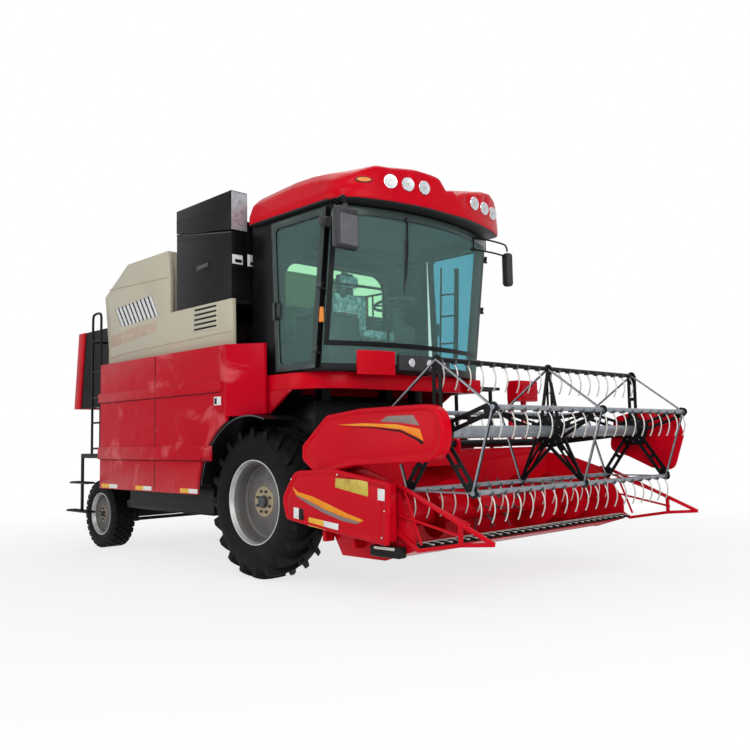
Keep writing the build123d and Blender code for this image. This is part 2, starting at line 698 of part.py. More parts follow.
with BuildPart() as mirrors:
    block((990, 1150), (-1210, -1090), (2640, 2940))
    rod((1060, -1150, 2930), (1060, -1150, 3060), 10)
    block((900, 1070), (-1160, 200 - roof_half_width), (roof_low - 50, roof_low))
    block((940, 1040), (1070, 1170), (2620, 2960))
    for bar_z in (2930, 3050):
        rod((972, 665, bar_z), (990, 1120, bar_z), 8)
    block((957, 987), (650, 680), (2910, roof_low))
    block((978, 1002), (1108, 1132), (2960, 3065))
pieces["mirrors"] = mirrors


def door_edge(z):
    """X of the door's front edge at a height."""
    return pillar_front(z) - door_setback


door_outer = [(door_edge(door_low), door_low), (door_edge(door_high), door_high), (door_rear - 20, door_high),
              (door_rear + 30, door_low)]
door_inner = [(door_edge(door_low + door_rim) - door_rim, door_low + door_rim),
              (door_edge(door_high - door_rim) - door_rim, door_high - door_rim),
              (door_rear - 20 + door_rim, door_high - door_rim), (door_rear + 30 + door_rim, door_low + door_rim)]
pane_corner = 40
for name, side in (("right", -1), ("left", 1)):
    skin = sorted((side * (cab_half_width + door_gap), side * (cab_half_width + door_gap + door_wall)))
    pane = sorted((side * (cab_half_width + door_gap + 10), side * (cab_half_width + door_gap + 18)))
    with BuildPart() as door_frame:
        side_outline(door_outer, skin)
        rounded_side(door_inner, pane_corner, skin, mode=Mode.SUBTRACT)
        handle = sorted((side * (cab_half_width + door_gap + door_wall), side * (cab_half_width + door_gap + 60)))
        block((door_rear + 30, door_rear + 60), handle, (2200, 2350))
        for height in hinge_heights:
            strap = sorted((side * (cab_half_width + door_gap + door_wall), side * (hinge_y + 2)))
            block((hinge_x(height) - 70, hinge_x(height)), strap, (height + 10, height + 40))
            barrel = [(hinge_x(height + rise), side * hinge_y, height + rise) for rise in (5, 44)]
            rod(*barrel, hinge_barrel)
            rod((hinge_x(height - 30), side * hinge_y, height - 30), (hinge_x(height + 80), side * hinge_y, height + 80),
                hinge_pin + shaft_clearance, mode=Mode.SUBTRACT)
    pieces[f"door_frame_{name}"] = door_frame
    with BuildPart() as door_glass:
        rounded_side(door_inner, pane_corner, pane)
    pieces[f"door_glass_{name}"] = door_glass

with BuildPart() as fenders:
    for side in (-1, 1):
        band = sorted((side * 850, side * panel_inner))
        with BuildSketch(Plane.XZ.offset(-band[1])) as arch:
            with BuildLine():
                for radius in (arch_radius - 15, arch_radius):
                    CenterArc((0, front_axle_z), radius, 72, 98)
                Line((0, front_axle_z) + Vector(1, 0).rotate(Axis.Z, 72) * (arch_radius - 15),
                     (0, front_axle_z) + Vector(1, 0).rotate(Axis.Z, 72) * arch_radius)
                Line((0, front_axle_z) + Vector(1, 0).rotate(Axis.Z, 170) * (arch_radius - 15),
                     (0, front_axle_z) + Vector(1, 0).rotate(Axis.Z, 170) * arch_radius)
            make_face()
        extrude(arch.sketch, amount=band[1] - band[0])
pieces["fenders"] = fenders

# ---------------------------------------------------------------- unloading auger
collar_low = spout_z - 160
with BuildPart() as spout_base:
    block((spout_x - 120, spout_x + 120), (shroud_outer, spout_y), (2120, 2360))
    rod((spout_x, spout_y, 2120), (spout_x, spout_y, collar_low), 120)
    rod((spout_x, spout_y, collar_low), (spout_x, spout_y, collar_low + 40), 90)
pieces["spout_base"] = spout_base

with BuildPart() as unloading_tube:
    rod((spout_x, spout_y, collar_low + 1), (spout_x, spout_y, spout_z + 110), 120)
    rod((spout_x, spout_y, spout_z), (spout_rear, spout_y, spout_z), spout_radius)
    block((spout_rear - 60, spout_rear + 130), (spout_y - 105, spout_y + 105), (spout_z - 260, spout_z + 105))
    block((spout_rear - 50, spout_rear + 120), (spout_y - 95, spout_y + 95), (spout_z - 270, spout_z + 60),
          mode=Mode.SUBTRACT)
    rod((spout_x, spout_y, collar_low), (spout_x, spout_y, collar_low + 45), 90 + shaft_clearance,
        mode=Mode.SUBTRACT)
pieces["unloading_tube"] = unloading_tube

# ---------------------------------------------------------------- header
with BuildPart() as feeder_house:
    feeder_front = table_back - sheet / 2
    feeder_y = (-feeder_half_width, feeder_half_width)
    side_outline([(lift_x, lift_z + feeder_radius), (feeder_front, feeder_mouth[1]), (feeder_front, feeder_mouth[0]),
                  (lift_x, lift_z - feeder_radius)], feeder_y)
    disc_y(lift_x, lift_z, feeder_radius, feeder_y)
    side_outline([(lift_x + 60, lift_z + feeder_radius - 65), (feeder_front, feeder_mouth[1] - feeder_wall),
                  (feeder_front, feeder_mouth[0] + feeder_wall), (lift_x + 60, lift_z - feeder_radius)],
                 (feeder_wall - feeder_half_width, feeder_half_width - feeder_wall), mode=Mode.SUBTRACT)
    disc_y(lift_x, lift_z, 30, (-feeder_half_width - 60, feeder_half_width + 60))
    for side in (-1, 1):
        disc_y(lift_x, lift_z, 60, sorted((side * (feeder_half_width - 10), side * (feeder_half_width + 10))))
        for edge in (-1, 1):
            ear = sorted((side * ram_y + edge * ram_fork, side * ram_y + edge * (ram_fork + 15)))
            side_outline([(ram_eye[0] - 60, feeder_bottom(ram_eye[0] - 60) + 10),
                          (ram_eye[0] + 60, feeder_bottom(ram_eye[0] + 60) + 10),
                          (ram_eye[0] + 25, ram_eye[1] - 25), (ram_eye[0] - 25, ram_eye[1] - 25)], ear)
        disc_y(*ram_eye, ram_pin, (side * ram_y - ram_fork - 10, side * ram_y + ram_fork + 10))
pieces["feeder_house"] = feeder_house

table_path = [(table_back, 1010), (table_back, 480), (1100, 316), (1540, 316), (cutter_x - 10, cutter_z - 20)]
end_outline = [(table_back - 10, 1010), (1300, 960), (1640, 850), (cutter_x + 30, 560), (cutter_x + 30, 390),
               (1540, 300), (1090, 300), (table_back - 10, 470)]
with BuildPart() as header_table:
    bent_strip(table_path, sheet, (table_right + sheet, table_left - sheet))
    side_outline(end_outline, (table_right, table_right + sheet))
    side_outline(end_outline, (table_left - sheet, table_left))
    block((table_back - sheet, table_back + sheet), (feeder_wall - feeder_half_width, feeder_half_width - feeder_wall),
          (feeder_mouth[0] + feeder_wall, feeder_mouth[1] - feeder_wall), mode=Mode.SUBTRACT)
    block((table_back - 60, table_back - 10), (table_right, table_left), (990 + 10, 1060))
    block((table_back - 60, table_back + 10), (table_right, table_left), (1010, 1060))
    for bracket_y in (-1000, 240, 1500):
        span = (bracket_y - 12, bracket_y + 12)
        side_outline([(reel_pivot_x - 55, 1060), (reel_pivot_x - 55, reel_pivot_z + 50),
                      (reel_pivot_x + 55, reel_pivot_z + 50), (reel_pivot_x + 55, 1030), (table_back + 10, 1010)], span)
        disc_y(reel_pivot_x, reel_pivot_z, 30 + shaft_clearance, span, mode=Mode.SUBTRACT)
    for end in ((table_right, table_right + sheet), (table_left - sheet, table_left)):
        disc_y(auger_x, auger_z, 25 + shaft_clearance, end, mode=Mode.SUBTRACT)
pieces["header_table"] = header_table

guard_pitch = 76.2
with BuildPart() as cutter_bar:
    beam_y = (table_right + sheet, table_left - sheet)
    block((cutter_x - 10, cutter_x + 30), beam_y, (cutter_z - 10, cutter_z + 30))
    guards = int((beam_y[1] - beam_y[0] - 60) // guard_pitch) + 1
    for guard in range(guards):
        guard_y = (beam_y[0] + beam_y[1]) / 2 + (guard - (guards - 1) / 2) * guard_pitch
        with BuildSketch(Plane.XY.offset(cutter_z)):
            with BuildLine():
                Polyline((cutter_x + 30, guard_y - 14), (cutter_x + 125, guard_y - 3), (cutter_x + 125, guard_y + 3),
                         (cutter_x + 30, guard_y + 14), close=True)
            make_face()
        extrude(amount=24)
pieces["cutter_bar"] = cutter_bar

with BuildPart() as crop_dividers:
    for skin in ((table_right - 24, table_right), (table_left, table_left + 24)):
        bent_strip([(1590, 860), (1720, 830), (2100, 665), (2520, 490)], 26, skin)
        bent_strip([(1600, 550), (1880, 400), (2250, 466), (2520, 490)], 26, skin)
        bent_strip([(2250, 466), (2250, 600)], 26, skin)
pieces["crop_dividers"] = crop_dividers

cover_wall = 30
cover_gap = 110
cover_front = 1722
cover_right = (table_right - cover_gap - cover_wall, table_right - cover_gap)
with BuildPart() as header_covers:
    rounded_side([(530, 710), (690, 925), (1150, 945), (cover_front, 860), (cover_front - 27, 425), (1090, 484), (585, 545)],
                 (110, 130, 200, 20, 20, 300, 60), cover_right)
    block((cover_front - 50, cover_front - 30), (cover_right[1], table_right - 30), (450, 850))
    block((1020, 1420), (table_right - cover_gap, table_right), (520, 780))
    side_outline([(table_back - 60, 900), (1090, 900), (1590, 800), (1580, 610), (1460, 400), (table_back - 60, 485)],
                 (table_left, table_left + cover_wall))
pieces["header_covers"] = header_covers

auger_steps = 12
auger_middle = (table_right + table_left) / 2
flight_turns = (auger_middle - table_right - sheet - 150 - feeder_half_width) / auger_pitch
with BuildPart() as header_auger:
    disc_y(auger_x, auger_z, auger_drum, (table_right + sheet + 12, table_left - sheet - 12))
    disc_y(auger_x, auger_z, 25, (table_right + 6, table_left - 6))
    flights = []
    for side in (-1, 1):
        sections = []
        for step in range(round(auger_steps * flight_turns) + 1):
            near = auger_middle + side * (feeder_half_width + auger_pitch * step / auger_steps)
            corners = ((auger_drum - 10, near), (auger_radius, near), (auger_radius, near + flight_wall),
                       (auger_drum - 10, near + flight_wall))
            sections.append([on_circle(auger_x, auger_z, radius, 360 * step / auger_steps, y) for radius, y in corners])
        flights.append(flat_skinned(sections))
    add(flights)
    for finger in range(8):
        finger_y = auger_middle + (finger - 3.5) * 80
        for turn in (90 * finger, 90 * finger + 180):
            rod(on_circle(auger_x, auger_z, auger_drum - 10, turn, finger_y),
                on_circle(auger_x, auger_z, auger_radius, turn, finger_y), 8)
pieces["header_auger"] = header_auger

# ---------------------------------------------------------------- reel
arm_right = (table_right - 5, table_right - 5 + arm_wall)
arm_left = (table_left - arm_wall, table_left)
with BuildPart() as reel_arms:
    for span in (arm_right, arm_left):
        side_outline([(reel_pivot_x, reel_pivot_z - 45), (reel_pivot_x, reel_pivot_z + 45), (reel_x, reel_z + 40),
                      (reel_x, reel_z - 40)], span)
        disc_y(reel_x, reel_z, 55, span)
        disc_y(reel_pivot_x, reel_pivot_z, 45, span)
        disc_y(reel_x, reel_z, reel_shaft + shaft_clearance, span, mode=Mode.SUBTRACT)
    disc_y(reel_pivot_x, reel_pivot_z, 30, (arm_right[1], arm_left[0]))
pieces["reel_arms"] = reel_arms

cover_end = 190
with BuildPart() as reel_cover:
    rounded_side([(740, 1120), (1030, 1345), (1400, 1382), (reel_x + cover_end, reel_z + cover_end),
                  (reel_x + cover_end, reel_z - cover_end), (1314, 967), (920, 885), (740, 1010)],
                 (50, 90, 200, cover_end - 5, cover_end - 5, 300, 100, 60), (arm_right[0] - 95, arm_right[0]))
pieces["reel_cover"] = reel_cover

bar_places = [(reel_x + reel_radius * sin(2 * pi * index / bar_count), reel_z + reel_radius * cos(2 * pi * index / bar_count))
              for index in range(bar_count)]
spider_places = (arm_right[1] + 32, (arm_right[1] + arm_left[0]) / 2, arm_left[0] - 32)
plate_width = 84
slot_width = 30
with BuildPart() as reel_spiders:
    disc_y(reel_x, reel_z, reel_tube, (spider_places[0] - 8, spider_places[2] + 8))
    disc_y(reel_x, reel_z, reel_shaft, (arm_right[0] + 6, arm_left[1] - 6))
    for spider_y in spider_places:
        span = (spider_y - 6, spider_y + 6)
        disc_y(reel_x, reel_z, 110, span)
        for index, (bar_x, bar_z) in enumerate(bar_places):
            turn = 90 - 360 * index / bar_count
            along = [on_circle(reel_x, reel_z, reach, turn, 0)[::2] for reach in (150, 270, 300, 420)]
            if spider_y == spider_places[1]:
                for lean_turn in (-22, 22):
                    hub_edge = on_circle(reel_x, reel_z, 95, turn + 3 * lean_turn, 0)[::2]
                    bent_strip([hub_edge, (bar_x, bar_z)], 26, span)
            else:
                bent_strip([(reel_x, reel_z), (bar_x, bar_z)], plate_width, span)
                bent_strip(along[:2], slot_width, span, mode=Mode.SUBTRACT)
                bent_strip(along[2:], slot_width, span, mode=Mode.SUBTRACT)
            bent_strip([(bar_x, bar_z), bar_places[(index + 1) % bar_count]], 12, span)
            disc_y(bar_x, bar_z, 35, span)
        for bar_x, bar_z in bar_places:
            disc_y(bar_x, bar_z, bar_radius + shaft_clearance, span, mode=Mode.SUBTRACT)
pieces["reel_spiders"] = reel_spiders

for index, (bar_x, bar_z) in enumerate(bar_places, start=1):
    with BuildPart() as tine_bar:
        disc_y(bar_x, bar_z, bar_radius, (spider_places[0] - 14, spider_places[2] + 14))
        tine_pitch = (spider_places[2] - spider_places[0] - 80) / (tine_count - 1)
        for tine in range(tine_count):
            tine_y = spider_places[0] + 40 + tine * tine_pitch
            side_outline([(bar_x - 4, bar_z - 8), (bar_x + 4, bar_z - 8), (bar_x + tine_bow + 4, bar_z - tine_length / 2),
                          (bar_x, bar_z - tine_length), (bar_x - 6, bar_z - tine_length),
                          (bar_x + tine_bow - 4, bar_z - tine_length / 2)], (tine_y - 4, tine_y + 4))
    pieces[f"tine_bar_{index}"] = tine_bar

# ---------------------------------------------------------------- lift cylinders
with BuildPart() as lift_barrels:
    for side in (-1, 1):
        eye_y = (side * ram_y - barrel_radius, side * ram_y + barrel_radius)
        rod((ram_base[0], side * ram_y, ram_base[1]), along_ram(barrel_length, side), barrel_radius)
        disc_y(*ram_base, barrel_radius, eye_y)
        disc_y(*ram_base, ram_pin + shaft_clearance, eye_y, mode=Mode.SUBTRACT)
        rod(along_ram(barrel_blind, side), along_ram(barrel_length, side), ram_rod + shaft_clearance, mode=Mode.SUBTRACT)
pieces["lift_barrels"] = lift_barrels

ram_length = hypot(ram_eye[0] - ram_base[0], ram_eye[1] - ram_base[1])
with BuildPart() as lift_rods:
    for side in (-1, 1):
        eye_y = (side * ram_y - barrel_radius, side * ram_y + barrel_radius)
        rod(along_ram(ram_length - rod_back, side), (ram_eye[0], side * ram_y, ram_eye[1]), ram_rod)
        disc_y(*ram_eye, ram_pin + eye_slack + 14, eye_y)
        disc_y(*ram_eye, ram_pin + eye_slack, eye_y, mode=Mode.SUBTRACT)
pieces["lift_rods"] = lift_rods

# ---------------------------------------------------------------- placing and export
boxes = [piece.part.bounding_box() for piece in pieces.values()]
whole = boxes[0]
for box in boxes[1:]:
    whole = whole.add(box)
to_origin = Location((-(whole.min.X + whole.max.X) / 2, -(whole.min.Y + whole.max.Y) / 2, -whole.min.Z))
os.makedirs("parts", exist_ok=True)
for name, piece in pieces.items():
    placed = piece.part.moved(to_origin)
    placed.label = name
    export_step(placed, f"parts/{name}.step")
print("whole", whole.size, "moved", to_origin.position)
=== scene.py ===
import json
import math

import bpy
from mathutils import Matrix, Vector


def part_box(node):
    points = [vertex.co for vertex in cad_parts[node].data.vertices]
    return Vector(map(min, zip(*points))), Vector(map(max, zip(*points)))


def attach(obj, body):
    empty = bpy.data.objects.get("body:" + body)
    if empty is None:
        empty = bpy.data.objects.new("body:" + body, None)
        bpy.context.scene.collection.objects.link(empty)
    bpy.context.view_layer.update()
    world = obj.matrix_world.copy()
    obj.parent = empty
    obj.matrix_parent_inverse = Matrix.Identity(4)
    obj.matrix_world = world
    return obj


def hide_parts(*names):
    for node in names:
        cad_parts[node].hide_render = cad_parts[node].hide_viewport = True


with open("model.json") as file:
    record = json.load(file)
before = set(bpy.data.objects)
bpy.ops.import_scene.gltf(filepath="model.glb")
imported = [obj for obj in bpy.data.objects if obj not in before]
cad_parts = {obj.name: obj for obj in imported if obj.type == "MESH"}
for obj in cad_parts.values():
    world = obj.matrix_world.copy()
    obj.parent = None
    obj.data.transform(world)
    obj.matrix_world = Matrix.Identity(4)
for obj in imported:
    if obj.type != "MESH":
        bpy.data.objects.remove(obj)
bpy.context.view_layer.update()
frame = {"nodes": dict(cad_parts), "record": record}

nodes = frame["nodes"]
bodyOfNode = {node: body for body, group in frame["record"]["behaviour"]["bodies"].items() for node in group}
slotOfNode = {part["node"]: part["material_slot"] for part in frame["record"]["subparts"]}
print("stage: frame loaded,", len(nodes), "nodes")


# places are worked out from the frame: the machine's own zero is the ground below the front axle's middle
def boxOf(node):
    low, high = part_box(node)
    return Vector(low), Vector(high)


def middleOf(node):
    low, high = boxOf(node)
    return (low + high) / 2


frontRight, frontLeft = middleOf("front_tyre_right"), middleOf("front_tyre_left")
zero = Vector((frontRight.x, (frontRight.y + frontLeft.y) / 2, 0))


def at(x, y, z):
    return Vector((zero.x + x, zero.y + y, z))


camera = {"place": (5.681, -5.293, 1.159), "heading": 135.712, "pitch": 4.533, "roll": -0.97, "lens": 38.943}


def addCamera():
    heading, pitch, roll = (math.radians(camera[key]) for key in ("heading", "pitch", "roll"))
    forward = Vector((math.cos(heading) * math.cos(pitch), math.sin(heading) * math.cos(pitch),
        math.sin(pitch)))
    level = Vector((math.sin(heading), -math.cos(heading), 0))
    upright = level.cross(forward)
    right = level * math.cos(roll) + upright * math.sin(roll)
    up = upright * math.cos(roll) - level * math.sin(roll)
    bpy.ops.object.camera_add(location=at(*camera["place"]))
    eye = bpy.context.object
    eye.rotation_euler = Matrix((right, up, -forward)).transposed().to_euler()
    eye.data.lens = camera["lens"]
    eye.data.clip_end = 200
    bpy.context.scene.camera = eye


lamps = {
    "key": {"place": (5.5, -7.5, 7.5), "aim": (-0.5, 0, 1.4), "size": 5.0, "power": 380},
    "front": {"place": (9.0, -2.0, 3.4), "aim": (0.8, 0, 1.4), "size": 5.0, "power": 320},
    "side": {"place": (-3.5, -9.0, 3.0), "aim": (-1.2, 0, 1.4), "size": 5.0, "power": 200},
    "top": {"place": (-1.0, 1.5, 9.0), "aim": (-0.6, 0, 1.0), "size": 7.0, "power": 210},
    "back": {"place": (-8.0, 5.0, 4.0), "aim": (-1.0, 0, 1.4), "size": 6.0, "power": 170},
}


def addLamps():
    for name, lamp in lamps.items():
        place, aim = at(*lamp["place"]), at(*lamp["aim"])
        bpy.ops.object.light_add(type="AREA", location=place)
        light = bpy.context.object
        light.name = name + "Lamp"
        light.rotation_euler = (aim - place).to_track_quat("-Z", "Y").to_euler()
        light.data.energy = lamp["power"]
        light.data.size = lamp["size"]


sky = {"colour": (0.80, 0.88, 1.0, 1), "strength": 0.32}


def setInputs(node, values):
    for label, value in values.items():
        node.inputs[label].default_value = value
    return node


def addNode(tree, kind, values=None, **settings):
    # a shader node with its settings and the values of its inputs
    node = tree.nodes.new("ShaderNode" + kind)
    for key, value in settings.items():
        setattr(node, key, value)
    return setInputs(node, values or {})


def wire(tree, *pairs):
    for start, end in pairs:
        tree.links.new(start, end)


def whiteToEye(tree):
    # 1 for what is seen straight, in a reflection or through glass
    path = addNode(tree, "LightPath")
    total = path.outputs["Is Camera Ray"]
    for ray in ("Is Glossy Ray", "Is Transmission Ray"):
        both = addNode(tree, "Math", operation="MAXIMUM")
        wire(tree, (total, both.inputs[0]), (path.outputs[ray], both.inputs[1]))
        total = both.outputs[0]
    return total


def addSky():
    world = bpy.data.worlds.new("paleSky")
    bpy.context.scene.world = world
    world.use_nodes = True
    tree = world.node_tree
    tree.nodes.clear()
    soft = addNode(tree, "Background", {"Color": sky["colour"], "Strength": sky["strength"]})
    white = addNode(tree, "Background", {"Color": (1, 1, 1, 1)})
    mix = addNode(tree, "MixShader")
    out = addNode(tree, "OutputWorld")
    wire(tree, (whiteToEye(tree), mix.inputs["Fac"]), (soft.outputs[0], mix.inputs[1]),
        (white.outputs[0], mix.inputs[2]), (mix.outputs[0], out.inputs["Surface"]))


floorLook = {"size": 60, "colour": (0.9, 0.9, 0.9, 1), "rough": 0.9, "shine": 0.1, "fade": (2.5, 8.0),
    "lift": 0.75}


def newMaterial(name):
    material = bpy.data.materials.new(name)
    material.use_nodes = True
    return material, material.node_tree, material.node_tree.nodes["Principled BSDF"]


def addFloor():
    bpy.ops.mesh.primitive_plane_add(size=floorLook["size"], location=(0, 0, 0))
    floor = bpy.context.object
    floor.name = "paleFloor"
    look, tree, shader = newMaterial("paleFloor")
    setInputs(shader, {"Base Color": floorLook["colour"], "Roughness": floorLook["rough"],
        "Specular IOR Level": floorLook["shine"]})
    # the far floor shows the camera the same white as the sky; near the machine the floor keeps its shadow
    place = addNode(tree, "TexCoord")
    reach = addNode(tree, "VectorMath", operation="LENGTH")
    near, far = floorLook["fade"]
    fade = addNode(tree, "MapRange", {"From Min": near, "From Max": far, "To Min": floorLook["lift"]},
        interpolation_type="SMOOTHSTEP")
    toEye = addNode(tree, "Math", operation="MULTIPLY")
    white = addNode(tree, "Emission")
    mix = addNode(tree, "MixShader")
    wire(tree, (place.outputs["Object"], reach.inputs[0]), (reach.outputs["Value"], fade.inputs["Value"]),
        (fade.outputs["Result"], toEye.inputs[0]), (whiteToEye(tree), toEye.inputs[1]),
        (toEye.outputs[0], mix.inputs["Fac"]), (shader.outputs[0], mix.inputs[1]),
        (white.outputs[0], mix.inputs[2]), (mix.outputs[0], tree.nodes["Material Output"].inputs["Surface"]))
    floor.data.materials.append(look)


bpy.context.scene.view_settings.view_transform = "Standard"
addCamera()
addLamps()
addSky()
addFloor()
print("stage: camera, light and floor")


# shared effects: each group puts out a mask or a height only
def newGroup(name, given, result):
    group = bpy.data.node_groups.new(name, "ShaderNodeTree")
    group.interface.new_socket(name="Vector", in_out="INPUT", socket_type="NodeSocketVector")
    for label, value in given.items():
        socket = group.interface.new_socket(name=label, in_out="INPUT", socket_type="NodeSocketFloat")
        socket.default_value = value
    group.interface.new_socket(name=result, in_out="OUTPUT", socket_type="NodeSocketFloat")
    return group, group.nodes.new("NodeGroupInput"), group.nodes.new("NodeGroupOutput")


def patchGroup():
    # uneven patches: soft noise, cut to a range
    group, given, out = newGroup("patches", {"Scale": 3.0, "Detail": 4.0, "From": 0.5, "To": 0.7}, "Mask")
    noise = addNode(group, "TexNoise", {"Distortion": 0.6})
    cut = addNode(group, "MapRange", interpolation_type="SMOOTHSTEP")
    wire(group, *((given.outputs[label], noise.inputs[label]) for label in ("Vector", "Scale", "Detail")),
        (noise.outputs["Fac"], cut.inputs["Value"]), (given.outputs["From"], cut.inputs["From Min"]),
        (given.outputs["To"], cut.inputs["From Max"]), (cut.outputs["Result"], out.inputs["Mask"]))
    return group


def dustAndReflectionGroup():
    # road dust, and on the red panels a painted pink reflection: strongest near the ground, broken up by
    # noise
    group, given, out = newGroup("dustAndReflectionMask", {"Top": 1.2, "Scale": 9.0}, "Mask")
    split = addNode(group, "SeparateXYZ")
    fade = addNode(group, "MapRange", {"From Min": 0, "To Min": 1, "To Max": 0})
    noise = addNode(group, "TexNoise", {"Detail": 6})
    mix = addNode(group, "Math", operation="MULTIPLY")
    wire(group, (given.outputs["Vector"], split.inputs[0]), (split.outputs["Z"], fade.inputs["Value"]),
        (given.outputs["Top"], fade.inputs["From Max"]), (given.outputs["Vector"], noise.inputs["Vector"]),
        (given.outputs["Scale"], noise.inputs["Scale"]), (fade.outputs["Result"], mix.inputs[0]),
        (noise.outputs["Fac"], mix.inputs[1]), (mix.outputs[0], out.inputs["Mask"]))
    return group


def grainGroup():
    # height of a moulded, cast or painted surface: a fine and a coarse noise
    group, given, out = newGroup("grain", {"Fine": 300.0, "Coarse": 3.0, "Balance": 0.5}, "Height")
    mix = addNode(group, "Mix")
    for label, end in (("Fine", "A"), ("Coarse", "B")):
        noise = addNode(group, "TexNoise")
        wire(group, (given.outputs["Vector"], noise.inputs["Vector"]),
            (given.outputs[label], noise.inputs["Scale"]), (noise.outputs["Fac"], mix.inputs[end]))
    wire(group, (given.outputs["Balance"], mix.inputs["Factor"]),
        (mix.outputs["Result"], out.inputs["Height"]))
    return group


patches, dustAndReflectionMask, grain = patchGroup(), dustAndReflectionGroup(), grainGroup()

